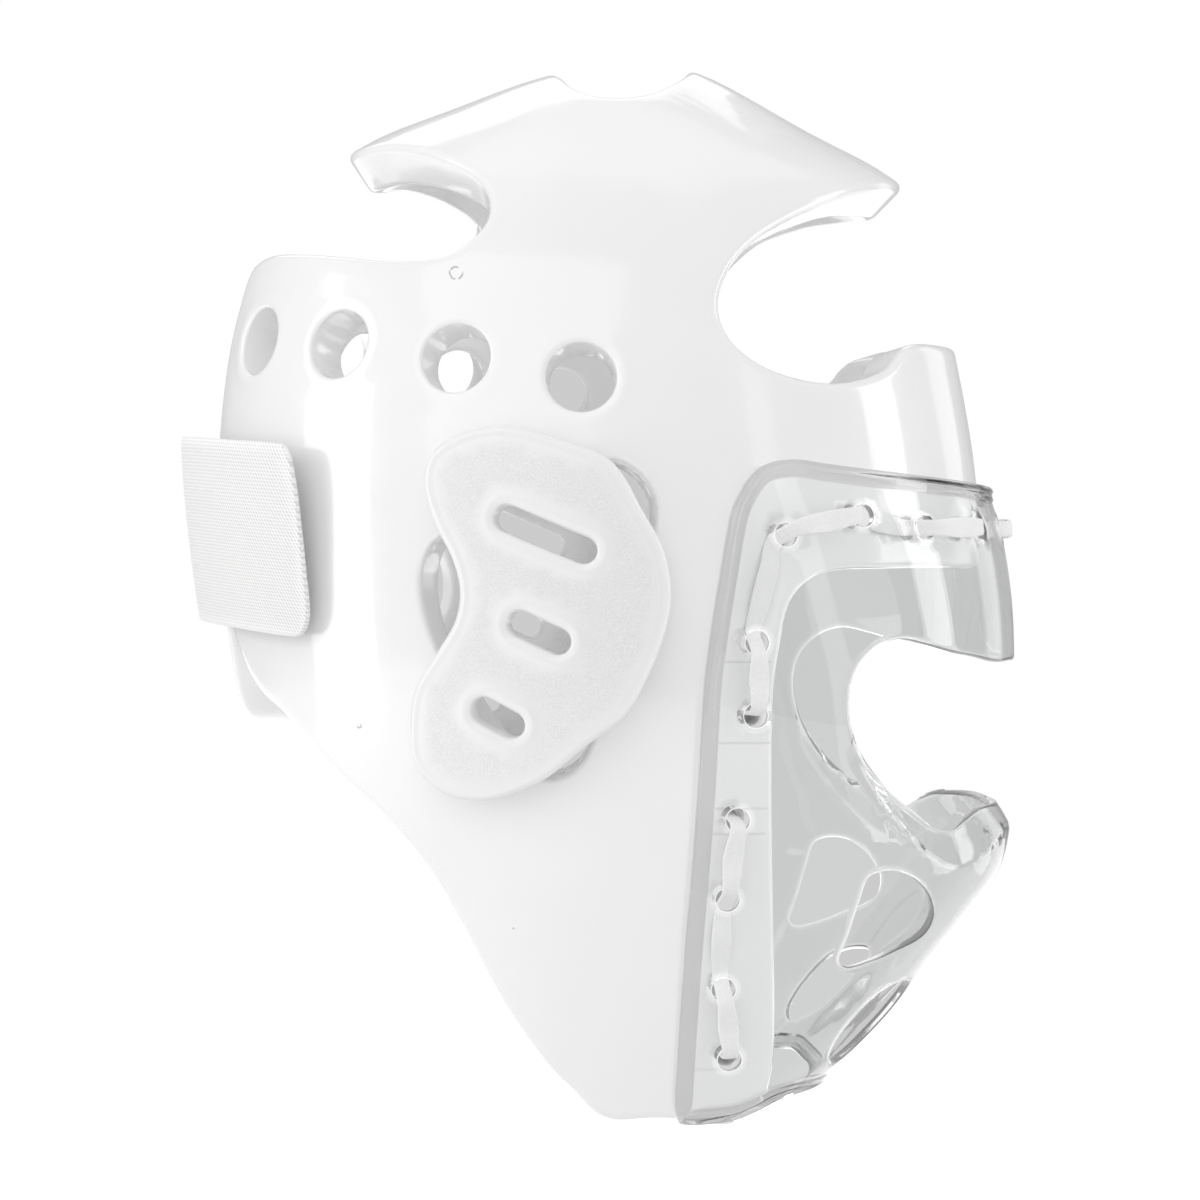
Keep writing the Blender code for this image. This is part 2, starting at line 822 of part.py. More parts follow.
def lace_path():
    """The lace's centre line down one side, and the direction of its width at each point."""
    rows = np.array([(bearing, drop) for bearing, drop, _ in LACE_ROUTE], float)
    base = foam_form(rows[:, 0], rows[:, 1])
    normal = foam_normal(rows[:, 0], rows[:, 1])
    outer = shield_height(rows[:, 0], rows[:, 1])
    over = outer + LACE_CLEARANCE + LACE_THICKNESS / 2
    under = np.full(len(rows), LACE_CLEARANCE + LACE_THICKNESS / 2)
    inside = np.full(len(rows), -FOAM_THICKNESS - LACE_CLEARANCE - LACE_THICKNESS / 2)
    level = {
        "over": over,
        "under": under,
        "inside": inside,
        "rim_inner": inside + 1.2 * MM,
        "rim": under * 0 - FOAM_THICKNESS / 2,
        "rim_outer": under - 1.3 * MM,
    }
    kinds = [kind for _, _, kind in LACE_ROUTE]
    turned_back = kinds.index("rim_inner")
    points, widths = [], []
    for i, kind in enumerate(kinds):
        if i < turned_back:
            ahead = base[i + 1] - base[max(i - 1, 0)]
            across = np.cross(normal[i], ahead)
            across /= np.linalg.norm(across)
        along = np.cross(across, normal[i])
        if kind in level:
            points.append(base[i] + normal[i] * level[kind][i])
            widths.append(across)
            continue
        before = level[kinds[i - 1]][i]
        after = level[kinds[i + 1]][i]
        middle = (before + after) / 2
        for shift, height in ((-2.0 * MM, before), (0, middle), (2.0 * MM, after)):
            points.append(base[i] + along * shift + normal[i] * height)
            widths.append(across)
    return np.array(points), np.array(widths)


def strip_along(points, widths, width, thickness, step):
    """Points and quads of a flat strip that follows a path."""
    length = np.concatenate([[0], np.cumsum(np.linalg.norm(np.diff(points, axis=0), axis=1))])
    table = np.column_stack([length, points, widths])
    knots = length
    at = []
    for start, end in zip(knots[:-1], knots[1:]):
        count = max(1, round((end - start) / step))
        at += list(np.linspace(start, end, count, endpoint=False))
    at = np.array(at + [knots[-1]])
    row = smooth_rows(table, at)
    centre = row[:, :3]
    across = row[:, 3:]
    ahead = np.gradient(centre, axis=0)
    ahead /= np.linalg.norm(ahead, axis=1, keepdims=True)
    across -= ahead * np.sum(across * ahead, axis=1, keepdims=True)
    across /= np.linalg.norm(across, axis=1, keepdims=True)
    out = np.cross(ahead, across)
    corners = []
    for side, face in ((-1, -1), (1, -1), (1, 1), (-1, 1)):
        corners.append(centre + across * side * width / 2 + out * face * thickness / 2)
    verts = np.stack(corners, 1).reshape(-1, 3)
    faces = [(0, 3, 2, 1)]
    for i in range(len(centre) - 1):
        for k in range(4):
            a = 4 * i + k
            b = 4 * i + (k + 1) % 4
            faces.append((a, b, b + 4, a + 4))
    end = 4 * (len(centre) - 1)
    faces.append((end, end + 1, end + 2, end + 3))
    return verts, faces


def make_lace(finish, collection):
    points, widths = lace_path()
    mirror = np.array([1, -1, 1])
    whole = np.vstack([points[:0:-1] * mirror, points])
    turned = np.vstack([-widths[:0:-1] * mirror, widths])
    verts, faces = strip_along(whole, turned, LACE_WIDTH, LACE_THICKNESS, LACE_STEP)
    lace = add_object("shield_lace", verts, faces, finish, collection)
    face_out(lace)
    return lace


def face_out(obj):
    """Turns a closed mesh the right way round by the sign of its volume."""
    mesh = obj.data
    volume = 0.0
    for face in mesh.polygons:
        corners = [np.array(mesh.vertices[i].co) for i in face.vertices]
        for second, third in zip(corners[1:-1], corners[2:]):
            volume += np.dot(corners[0], np.cross(second, third))
    if volume < 0:
        mesh.flip_normals()


def lace_hole_cutter(collection):
    """One cutter of round pins, each through the shield and the foam at a lace hole."""
    verts, faces = [], []
    sides = 12
    for bearing, drop, kind in LACE_ROUTE:
        if not kind.startswith("hole"):
            continue
        for side in (-1, 1):
            place = (np.array([bearing * side]), np.array([float(drop)]))
            base = foam_form(*place)[0]
            normal = foam_normal(*place)[0]
            first = np.cross(normal, (0, 0, 1))
            first /= np.linalg.norm(first)
            second = np.cross(normal, first)
            start = len(verts)
            for height in (-FOAM_THICKNESS - 4 * MM, 12 * MM):
                for k in range(sides):
                    angle = 2 * math.pi * k / sides
                    ring = first * math.cos(angle) + second * math.sin(angle)
                    verts.append(base + normal * height + ring * LACE_HOLE_RADIUS)
            faces.append([start + k for k in range(sides)])
            faces.append([start + sides + k for k in reversed(range(sides))])
            for k in range(sides):
                j = (k + 1) % sides
                faces.append([start + k, start + sides + k, start + sides + j, start + j])
    mesh = bpy.data.meshes.new("lace_hole_cutter")
    mesh.from_pydata([tuple(v) for v in verts], [], faces)
    cutter = bpy.data.objects.new("lace_hole_cutter", mesh)
    collection.objects.link(cutter)
    face_out(cutter)
    cutter.hide_render = True
    cutter.display_type = "WIRE"
    return cutter


def main():
    for obj in list(bpy.data.objects):
        bpy.data.objects.remove(obj)
    parts = bpy.data.collections.new("karate headgear")
    cutters = bpy.data.collections.new("cutters")
    bpy.context.scene.collection.children.link(parts)
    bpy.context.scene.collection.children.link(cutters)
    vinyl = material("white vinyl", WHITE_VINYL, 0.25)
    cloth = material("white cloth", WHITE_CLOTH, 0.9)
    clear = material("clear plastic", CLEAR_PLASTIC, 0.05, 1.0)
    foam = make_foam(vinyl, parts)
    shield = make_shield(clear, parts)
    make_cover("ear_cover_right", -1, vinyl, parts)
    make_cover("ear_cover_left", 1, vinyl, parts)
    make_strap(cloth, parts)
    make_lace(cloth, parts)
    cutter = lace_hole_cutter(cutters)
    cut(foam, cutter)
    cut(shield, cutter)


main()
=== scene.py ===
"""Looks of the karate headgear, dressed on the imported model.

The dipped foam shell, the ear covers, the elastic strap, the clear face shield and the flat lace
are rebuilt here as fine meshes on the same named forms as the solids, so each piece lies where its
solid lies. X points forward out of the face, Y to the wearer's left and Z up, and the origin is the
wearer's crown. Sizes in the tables are millimetres.
"""

import math

import bpy
import numpy as np
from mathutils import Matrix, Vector, kdtree
from mathutils.geometry import delaunay_2d_cdt


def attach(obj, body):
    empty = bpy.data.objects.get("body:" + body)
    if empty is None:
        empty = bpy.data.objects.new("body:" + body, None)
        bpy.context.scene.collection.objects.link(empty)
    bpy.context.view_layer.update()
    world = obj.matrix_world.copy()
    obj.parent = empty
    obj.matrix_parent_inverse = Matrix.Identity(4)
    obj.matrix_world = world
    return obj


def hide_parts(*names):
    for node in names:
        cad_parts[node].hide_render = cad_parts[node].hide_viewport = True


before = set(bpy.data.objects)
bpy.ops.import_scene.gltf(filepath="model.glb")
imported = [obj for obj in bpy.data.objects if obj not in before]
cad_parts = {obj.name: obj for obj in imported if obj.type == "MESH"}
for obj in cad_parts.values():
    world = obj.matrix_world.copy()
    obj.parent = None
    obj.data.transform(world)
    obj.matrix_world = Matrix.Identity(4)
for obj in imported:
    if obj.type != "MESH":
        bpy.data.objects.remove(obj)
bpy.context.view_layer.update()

MM = 0.001

# Where the photograph was taken from: the camera looks at the target from this far away, at these
# degrees. The scale and the frame give the lens.
CAMERA_TARGET = Vector((-0.0054, 0.0, -0.1257))
CAMERA_DISTANCE = 1.5
CAMERA_AZIMUTH = -3.0
CAMERA_ELEVATION = 1.0
PIXELS_PER_MM = 3.7
FRAME_PIXELS = 1200
SENSOR_MM = 36.0

# The studio in metres. The world is brightest in front, darker past the sides, and grey behind, where
# the clear plastic shows it. A pair of numbers is where one tone fades into the next, as directions.
FLOOR_DROP = 0.42
FLOOR_GLOW = 0.8
FLOOR_HALF_SIZE = 2.1
WORLD_FRONT = 0.78
WORLD_SIDES = 0.70
WORLD_BEHIND = 0.62
WORLD_AROUND = 0.56
SIDES_FROM = (0.72, 0.9)
BEHIND_FROM = (0.1, 0.6)
WALL_OVAL = ((0.05, -0.02), (0.28, 0.34))
WALL_FADE = (0.25, 1.0)

# The eye sees the wall behind as white but for soft grey ovals straight behind the guard: the middle's
# direction, x and z, and the half width and half height.
SEEN_OVALS = [((0.045, -0.013), (0.0243, 0.0387)), ((0.1002, -0.0742), (0.009, 0.0122))]
SEEN_OVAL_TONE = 0.6
SEEN_OVAL_FADE = (0.95, 1.15)

# The lights: name, place, width and height, and power in watts. All shine at one point.
LIGHT_AIM = (0.0, 0.0, -0.13)
LIGHTS = [
    ("key_softbox", (-0.6, -1.4, 0.9), (1.5, 1.5), 5.2),
    ("right_strip", (1.5, -0.1, 0.0), (0.4, 1.6), 5.4),
    ("left_strip", (-1.5, -0.4, 0.1), (0.7, 1.4), 7.2),
    ("front_strip", (1.1, -1.2, 0.1), (0.2, 1.3), 0.7),
    ("rim_strip", (1.3, 1.0, 0.0), (0.5, 1.5), 1.6),
    ("top_fill", (0.2, 0.3, 1.5), (1.4, 1.0), 1.4),
    ("back_fill", (-0.2, 1.4, 1.25), (1.6, 0.9), 4.0),
]

# The pieces. A spacing is the distance between the places of a mesh, and an area is the range of
# bearings and then of drops, or heights on the shield, that those places fill.
HEAD_MIDDLE_Z = -130 * MM
FOAM_THICKNESS = 12.5 * MM
FOAM_SPACING = 4.2 * MM
FOAM_CHART_DROP = 85.0
FOAM_AREA = ((-180, 180), (14, 322))

COVER_THICKNESS = 8.0 * MM
COVER_GAP = 0.5 * MM
COVER_SPACING = 3.0 * MM
COVER_BEARINGS = (80, 126)
COVER_DROPS = (134, 238)

STRAP_THICKNESS = 2.0 * MM
STRAP_GAP = 0.5 * MM
STRAP_BULGE_TOP = 7.0 * MM
STRAP_BULGE_BOTTOM = 2.6 * MM
STRAP_BULGE_BEARING = 148
STRAP_BULGE_DEGREES = 26
STRAP_SPACING = 3.0 * MM
STRAP_AREA = ((-43, 43), (146, 196))
STRAP_TURNS = [-38, -26, -13, 0, 13, 26, 38]
STRAP_MM_PER_DEGREE = 1.8
STRAP_CHART_MM_PER_DEGREE = 1.7

SHIELD_WALL = 2.0 * MM
SHIELD_STANDOFF = 2.3 * MM
SHIELD_SPACING = 2.4 * MM
SHIELD_AREA = ((-84, 84), (-262, -89))
SHIELD_CHART_MM_PER_DEGREE = 1.6
SHIELD_CENTRE_X = -5.0 * MM
SHIELD_LACED_X = 20.0 * MM

LACE_WIDTH = 5.4 * MM
LACE_WIDTH_IN_HOLE = 4.2 * MM
LACE_THICKNESS = 1.1 * MM
LACE_CLEARANCE = 0.7 * MM
LACE_HOLE_RADIUS = 3.1 * MM
LACE_HOLE_SLANT = 2.0 * MM
LACE_RIM_INNER = 1.2 * MM
LACE_RIM_OUTER = 1.3 * MM
LACE_STEP = 1.0 * MM
LACE_SIDES = 20
LACE_FLATNESS = 0.55
LACE_TALLNESS = 0.7
CUTTER_SIDES = 24
CUTTER_REACH = (-FOAM_THICKNESS - 4 * MM, 12 * MM)

VENT_RADIUS = 9.2 * MM

# The foam's outer form, ring by ring down the head: drop, front x and z, back x and z, side y and z.
FOAM_RINGS = [
    (0, 3, 17.5, 1, 17.5, 1, 17.5),
    (22, 22, 16.0, -20, 15.5, 21, 10.5),
    (42, 50, 0.8, -45, 6.5, 37, 1.5),
    (62, 76.5, -14.5, -70, -4, 53, -12),
    (84, 85, -36, -94, -24, 67, -30),
    (112, 91, -62, -103.8, -49, 78, -56),
    (146, 96, -92, -108.8, -83, 84.5, -89),
    (177, 98, -122, -109, -113, 86.5, -120),
    (212, 99, -155, -107, -146, 86, -155),
    (253, 99, -195, -103, -190, 80, -195),
    (294, 98, -235, -98, -232, 70, -235),
    (330, 96, -272, -95, -270, 60, -270),
]

# Outlines on the foam, given for one half of the head from the face to the back: bearing, drop.
# The foam's own outline is the front and cheek, then the rear flap's lower corner, then the rear.
CHEEK_OUTLINE = [
    (0, 172), (18, 172), (34, 172), (47, 172.5), (55, 173), (60, 175), (64, 181), (66, 192),
    (67.5, 208), (68, 235), (68, 265), (67.8, 295), (68.5, 309), (71, 317), (78, 320), (87, 319.5),
    (93, 320), (96.5, 317.5), (99.5, 312), (104, 304), (110.5, 287.5), (116, 268), (121, 253),
    (128, 240.5),
]

RIGHT_FLAP_CORNER = [
    (136, 231.5), (143, 223.5), (148.7, 217.8), (154.5, 214), (159.3, 208.5), (164, 200),
    (168.5, 189), (171.5, 175),
]

# The left rear flap hangs lower and has a squarer corner.
LEFT_FLAP_CORNER = [
    (136, 233.5), (143, 228.5), (150, 226), (157, 224.5), (163, 222), (166.7, 216), (168.8, 207),
    (170.8, 195), (172.3, 180),
]

REAR_OUTLINE = [
    (173, 150), (173, 122), (172.5, 107), (169, 98), (161, 94), (150, 93), (139, 93), (129, 93.5),
    (121, 92.5), (116.5, 90), (114, 85), (113.5, 80), (116, 74), (121.5, 68.5), (130, 64.5),
    (144, 61.5), (157, 61.5), (168, 64), (180, 65),
]

FRONT_NOTCH = [
    (0, 62), (14, 62.5), (27, 64), (40, 66.5), (50, 70.5), (58, 75.5), (65, 82.5), (70, 91),
    (72.5, 99), (73, 106), (71, 113.5), (66, 119.5), (59, 122.5), (52, 122.5), (45.5, 120),
    (40.5, 116.5), (36.5, 111.5), (31, 108.5), (20, 107.5), (0, 107),
]

TOP_HOLE = [
    (0, 18.3), (20, 18.7), (35, 19.6), (50, 20.6), (65, 22.2), (80, 25), (95, 27), (110, 27),
    (128, 24), (145, 21), (160, 19.8), (180, 19.3),
]

# Closed outlines on each side of the head: bearing, drop.
EAR_OPENING = [
    (91, 146), (87.5, 147.5), (84.8, 153), (84.2, 160), (86, 172), (88.5, 188), (92, 204),
    (94.5, 216), (96.5, 223), (100, 227), (104, 225.5), (108, 218), (112, 208.5), (116.5, 196.5),
    (118.5, 186), (118.8, 177), (117.5, 170), (115, 166), (107, 157.5), (98, 150.5),
]

EAR_COVER = [
    (104.8, 138), (98, 140.8), (90.4, 146.8), (86.3, 159.5), (83.8, 168.5), (83, 179), (83.8, 188),
    (86.2, 199), (89.8, 209.8), (95.5, 218), (100.8, 226), (105, 230), (109.1, 232.4),
    (113.7, 232.3), (117.4, 229.2), (119.6, 224), (120, 216.5), (118.8, 205.5), (115.4, 196.2),
    (112.4, 187.5), (111.6, 179.5), (112.6, 171.6), (114.8, 163.5), (116.4, 154.5), (115.8, 147),
    (113, 142), (109.2, 139.2),
]

# Ear cover slots: bearing and drop of the two end centres, and the half width.
COVER_SLOTS = [
    (104.6, 161.2, 94.5, 168.8, 3.5),
    (103.3, 187.5, 98.4, 191.7, 3.4),
    (108.8, 209.6, 105.2, 212.9, 3.5),
]

VENT_CENTRES = [(157.1, 118.7), (135.3, 117.8), (113.8, 119.5), (94.5, 123.6)]

# Half of the strap's outline, from one end to the mid-plane of the back: bearing, drop.
STRAP_TOP_DROP = 145.4
STRAP_BOTTOM_DROP = 196.0
STRAP_END = [(139, 147.2), (137.7, 155), (137.2, 165), (137, 178), (137.1, 189), (138.8, 194.8)]

# The shield's outer form: z, front x, and how square the front turns (2 is an ellipse).
SHIELD_RINGS = [
    (-80, 94.5, 2.15),
    (-95, 98.8, 2.15),
    (-105, 102, 2.2),
    (-122, 105, 2.3),
    (-142, 105.7, 2.5),
    (-165, 104.2, 2.7),
    (-184, 104.2, 2.9),
    (-197, 100.7, 3.1),
    (-208, 92.4, 3.3),
    (-220, 82, 3.6),
    (-236, 69, 3.9),
    (-248, 56.5, 4.1),
    (-257, 45, 4.2),
    (-266, 34, 4.2),
]

# The lip under the nose opening leans in from a crease: bearing, z of the crease, z of the opening's edge.
# It ends at a bearing and at a height, and fades out before them.
SHIELD_LIP_LEAN = 5.0
SHIELD_LIP_END = 53
SHIELD_LIP_END_FADE = 8
SHIELD_LIP_TOP = -146
SHIELD_LIP_TOP_FADE = 12
SHIELD_LIP = [
    (0, -187, -178.5),
    (23.5, -187, -179.3),
    (29.5, -191, -181.8),
    (34, -194, -184.5),
    (39.5, -191.5, -180.7),
    (44.5, -184, -175),
    (48.5, -176, -168.5),
    (54, -166, -160),
    (60, -160, -155),
]

# Half of the shield's outline, from the mid-plane of the visor to that of the chin: bearing, z.
SHIELD_OUTLINE = [
    (0, -95.5), (18, -94.5), (42, -91.5), (54, -89.5), (60, -88.3), (64.5, -89), (67.5, -91.5),
    (70, -96.5), (71.8, -103), (73.6, -117), (75.5, -135), (76.5, -150), (77, -180), (77.5, -215),
    (77.3, -245), (76.8, -258), (75, -260.5), (70, -260.5), (64, -259.5), (59, -257),
    (54.5, -254.3), (47, -252.8), (35, -252), (15, -252), (0, -252),
]

NOSE_OPENING = [
    (0, -141.5), (12, -141.5), (23.5, -141.5), (31, -139.5), (36, -138), (41, -135.8),
    (45.5, -134.5), (49.7, -137), (52.7, -142.5), (53.8, -150.5), (52.7, -160), (48.8, -168.5),
    (43, -176.5), (39.5, -180.7), (36.5, -184), (33, -184.5), (29.5, -181.8), (24, -179.3),
    (12, -178.5), (0, -178.5),
]

SHIELD_VENT = [
    (48.1, -194.8), (49.6, -196.6), (50.2, -202.7), (50.8, -211.6), (51.4, -217.6), (49.7, -219.6),
    (45.8, -218), (41.8, -215.4), (37.9, -212.6), (36.5, -209.6), (37.3, -205), (40.1, -199.7),
    (43.2, -195.8), (45.8, -194.5),
]

CHIN_VENT = [
    (31, -225.5), (37, -225.2), (41.3, -227.5), (44.3, -232.5), (46.3, -238.5), (46, -243.5),
    (42.5, -246), (37, -244), (31.5, -238.5), (28.5, -231),
]

# The lace from the mid-plane of the visor down one side: bearing, drop, and where it runs there.
# It goes over the shield, under it on the foam, inside the foam, and at the end round the foam's lower rim.
LACE_ROUTE = [
    (0, 161.5, "over"),
    (10, 161.5, "hole"),
    (18, 161.5, "under"),
    (26.3, 161.5, "hole"),
    (34, 161.8, "over"),
    (41.8, 162, "hole"),
    (47, 161, "under"),
    (53.5, 159.3, "hole"),
    (59.5, 161, "over"),
    (66, 164.5, "hole"),
    (68, 173, "under"),
    (69.6, 182, "under"),
    (71, 192, "hole"),
    (71.2, 201, "over"),
    (71.6, 210.5, "hole_through"),
    (73, 223, "inside"),
    (74.5, 237.5, "hole_through"),
    (75.5, 247, "over"),
    (76.2, 258.5, "hole"),
    (76.8, 270, "under"),
    (77, 282.5, "hole"),
    (76.5, 292, "over"),
    (76, 301.5, "hole_through"),
    (76, 309.5, "inside"),
    (76, 316.5, "inside"),
    (76, 320.1, "rim_inner"),
    (76, 322, "rim"),
    (76, 320.1, "rim_outer"),
]


def smooth_rows(table, at):
    """A smooth curve through a table's rows, read at given values of its first column."""
    table = np.asarray(table, float)
    x = table[:, 0]
    y = table[:, 1:]
    step = np.diff(x)[:, None]
    slope = np.diff(y, axis=0) / step
    middle = (slope[1:] * step[:-1] + slope[:-1] * step[1:]) / (step[1:] + step[:-1])
    slope = np.vstack([slope[:1], middle, slope[-1:]])
    at = np.asarray(at, float)
    row = np.clip(np.searchsorted(x, at) - 1, 0, len(x) - 2)
    width = (x[row + 1] - x[row])[..., None]
    s = ((at - x[row]) / (x[row + 1] - x[row]))[..., None]
    start = y[row] * (2 * s**3 - 3 * s**2 + 1) + width * slope[row] * (s**3 - 2 * s**2 + s)
    end = y[row + 1] * (3 * s**2 - 2 * s**3) + width * slope[row + 1] * (s**3 - s**2)
    return start + end


def foam_form(bearing, drop):
    """Points on the foam's outer form, in metres."""
    ring = smooth_rows(FOAM_RINGS, drop)
    front_x, front_z, back_x, back_z, side_y, side_z = np.moveaxis(ring, -1, 0)
    cosine = np.cos(np.radians(bearing))
    sine = np.sin(np.radians(bearing))
    middle = (front_x + back_x) / 2
    reach = (front_x - back_x) / 2
    end_z = np.where(cosine > 0, front_z, back_z)
    x = middle + reach * cosine
    y = side_y * sine
    z = side_z + (end_z - side_z) * cosine**2
    return np.stack([x, y, z], -1) * MM


def tangents(form, u, v):
    """The form's two tangent vectors at each place, per degree or millimetre."""
    step = 0.01
    along_u = (form(u + step, v) - form(u - step, v)) / (2 * step)
    along_v = (form(u, v + step) - form(u, v - step)) / (2 * step)
    return along_u, along_v


def surface_normal(form, u, v):
    along_u, along_v = tangents(form, np.asarray(u, float), np.asarray(v, float))
    normal = np.cross(along_u, along_v)
    return normal / np.linalg.norm(normal, axis=-1, keepdims=True)


def foam_normal(bearing, drop):
    return -surface_normal(foam_form, bearing, drop)


def raised_foam(height):
    """The foam's form moved outwards by a height, or by a function of bearing and drop."""

    def form(bearing, drop):
        rise = height(bearing, drop) if callable(height) else height
        rise = np.broadcast_to(rise, np.shape(bearing + drop * 0))[..., None]
        return foam_form(bearing, drop) + foam_normal(bearing, drop) * rise

    return form


def foam_half_width(x, z):
    """The foam's outer half width at a point of the side view, all in millimetres."""
    bearing = np.full(np.shape(z), 70.0)
    drop = 90.0 - np.asarray(z, float) * 0.9
    for _ in range(12):
        found = foam_form(bearing, drop) / MM
        error = np.stack([x - found[..., 0], z - found[..., 2]], -1)
        along_u, along_v = tangents(foam_form, bearing, drop)
        matrix = np.stack([along_u[..., [0, 2]], along_v[..., [0, 2]]], -1) / MM
        move = np.linalg.solve(matrix, error[..., None])[..., 0]
        bearing = bearing + np.clip(move[..., 0], -8, 8)
        drop = drop + np.clip(move[..., 1], -25, 25)
    return foam_form(bearing, drop)[..., 1] / MM


def lip_lean(bearing, z):
    """How far the lip under the nose opening leans in at a place on the shield."""
    crease, edge = np.moveaxis(smooth_rows(SHIELD_LIP, np.minimum(bearing, 60)), -1, 0)
    above_crease = np.clip((z - crease) / (edge - crease), 0, 1)
    beside = np.clip((SHIELD_LIP_END - bearing) / SHIELD_LIP_END_FADE, 0, 1)
    below_visor = np.clip((SHIELD_LIP_TOP - z) / SHIELD_LIP_TOP_FADE, 0, 1)
    return SHIELD_LIP_LEAN * above_crease * beside * below_visor


def shield_form(bearing, z):
    """Points on the shield's outer form. Its sides stand off the foam, and its front is rounder."""
    bearing, z = np.broadcast_arrays(np.asarray(bearing, float), np.asarray(z, float))
    front_x, power = np.moveaxis(smooth_rows(SHIELD_RINGS[::-1], z), -1, 0)
    centre_x = SHIELD_CENTRE_X / MM
    laced_x = SHIELD_LACED_X / MM
    reach = front_x - centre_x
    heights = np.linspace(-268, -78, 40)
    beside = np.interp(z, heights, foam_half_width(np.full(40, laced_x), heights))
    beside = beside + (SHIELD_STANDOFF + SHIELD_WALL) / MM
    side_y = beside / (1 - ((laced_x - centre_x) / reach) ** power) ** (1 / power)
    cosine = np.cos(np.radians(bearing))
    sine = np.sin(np.radians(bearing))
    ray = ((np.abs(cosine) / reach) ** power + (np.abs(sine) / side_y) ** power) ** (-1 / power)
    ray = ray - lip_lean(np.abs(bearing), z)
    return np.stack([centre_x + ray * cosine, ray * sine, z], -1) * MM


def foam_chart(bearing, drop):
    """A flat map of the foam, seen from the crown, that keeps the shapes of small triangles."""
    radius = np.exp(drop / FOAM_CHART_DROP)
    return np.stack([radius * np.cos(np.radians(bearing)), radius * np.sin(np.radians(bearing))], -1)


def shield_chart(bearing, z):
    return np.stack([bearing * SHIELD_CHART_MM_PER_DEGREE, z + bearing * 0], -1)


def mirrored(half):
    """A closed outline from its left half, which starts and ends on the mid-plane."""
    half = np.asarray(half, float)
    return np.vstack([half, half[-2:0:-1] * (-1, 1)])


def unwound(rows):
    """The rows with bearings that run on past the back of the head, with no jump there."""
    return np.stack([np.unwrap(rows[:, 0], period=360), rows[:, 1]], -1)


def closed_curve(rows):
    """A smooth closed curve through the rows of an outline."""
    rows = np.asarray(rows, float)
    rows = unwound(np.vstack([rows[-1:], rows, rows[:2]]))
    s = np.linspace(0, 1, CURVE_STEPS, endpoint=False)[None, :, None]
    a, b, c, d = rows[:-3, None], rows[1:-2, None], rows[2:-1, None], rows[3:, None]
    curve = 0.5 * (2 * b + (c - a) * s + (2 * a - 5 * b + 4 * c - d) * s**2 + (3 * b - a - 3 * c + d) * s**3)
    return curve.reshape(-1, 2)


def even_loop(form, curve, spacing):
    """The closed curve resampled at even distances along the form."""
    ring = unwound(np.vstack([curve, curve[:1]]))
    points = form(ring[:, 0], ring[:, 1])
    length = np.concatenate([[0], np.cumsum(np.linalg.norm(np.diff(points, axis=0), axis=1))])
    count = max(12, round(length[-1] / spacing))
    at = np.linspace(0, length[-1], count, endpoint=False)
    return np.stack([np.interp(at, length, ring[:, 0]), np.interp(at, length, ring[:, 1])], -1)


def moved_on(form, places, steps):
    """Places on the form after moving each by a short vector in space."""
    along_u, along_v = tangents(form, places[:, 0], places[:, 1])
    matrix = np.stack([along_u, along_v], -1)
    return places + np.einsum("nij,nj->ni", np.linalg.pinv(matrix), steps)


def circle_on(form, centre, radius, count):
    """A round outline of a true radius about a place on the form."""
    place = np.repeat([centre], count, axis=0).astype(float)
    along_u, along_v = tangents(form, place[:, 0], place[:, 1])
    first = along_u / np.linalg.norm(along_u, axis=1, keepdims=True)
    second = along_v - first * np.sum(along_v * first, axis=1, keepdims=True)
    second /= np.linalg.norm(second, axis=1, keepdims=True)
    angle = np.linspace(0, 2 * math.pi, count, endpoint=False)[:, None]
    return moved_on(form, place, radius * (first * np.cos(angle) + second * np.sin(angle)))


def signed_area(flat):
    return 0.5 * np.sum(flat[:, 0] * np.roll(flat[:, 1], -1) - np.roll(flat[:, 0], -1) * flat[:, 1])


def inside_loops(flat, loops):
    """Whether each flat point is inside an odd number of the closed loops."""
    inside = np.zeros(len(flat), bool)
    for loop in loops:
        for (x0, y0), (x1, y1) in zip(loop, np.roll(loop, -1, axis=0)):
            if y0 == y1:
                continue
            crosses = (y0 > flat[:, 1]) != (y1 > flat[:, 1])
            inside ^= crosses & (flat[:, 0] < (x1 - x0) * (flat[:, 1] - y0) / (y1 - y0) + x0)
    return inside


def rows_of_places(form, u_range, v_range, spacing):
    """Staggered rows of places over part of the form, about one spacing apart."""
    places = []
    row = 0
    v = v_range[0]
    while v <= v_range[1]:
        row += 1
        u = u_range[0] + (row % 2) * 0.01
        middle = (u_range[0] + u_range[1]) / 2
        across, down = tangents(form, np.array([middle, 90.0]), np.array([v, v]))
        count = max(3, round((u_range[1] - u_range[0]) * np.linalg.norm(across, axis=1).mean() / spacing))
        step = (u_range[1] - u_range[0]) / count
        for index in range(count):
            places.append((u + step * (index + 0.5 * (row % 2)), v))
        v += 0.87 * spacing / max(MM, np.linalg.norm(down, axis=1).mean())
    return np.array(places)


def foam_outline():
    """The foam's outline all round, from the middle of the forehead down the left cheek."""
    left = np.array(CHEEK_OUTLINE + LEFT_FLAP_CORNER + REAR_OUTLINE, float)
    right = np.array(CHEEK_OUTLINE + RIGHT_FLAP_CORNER + REAR_OUTLINE, float)
    return np.vstack([left, right[-2:0:-1] * (-1, 1)])


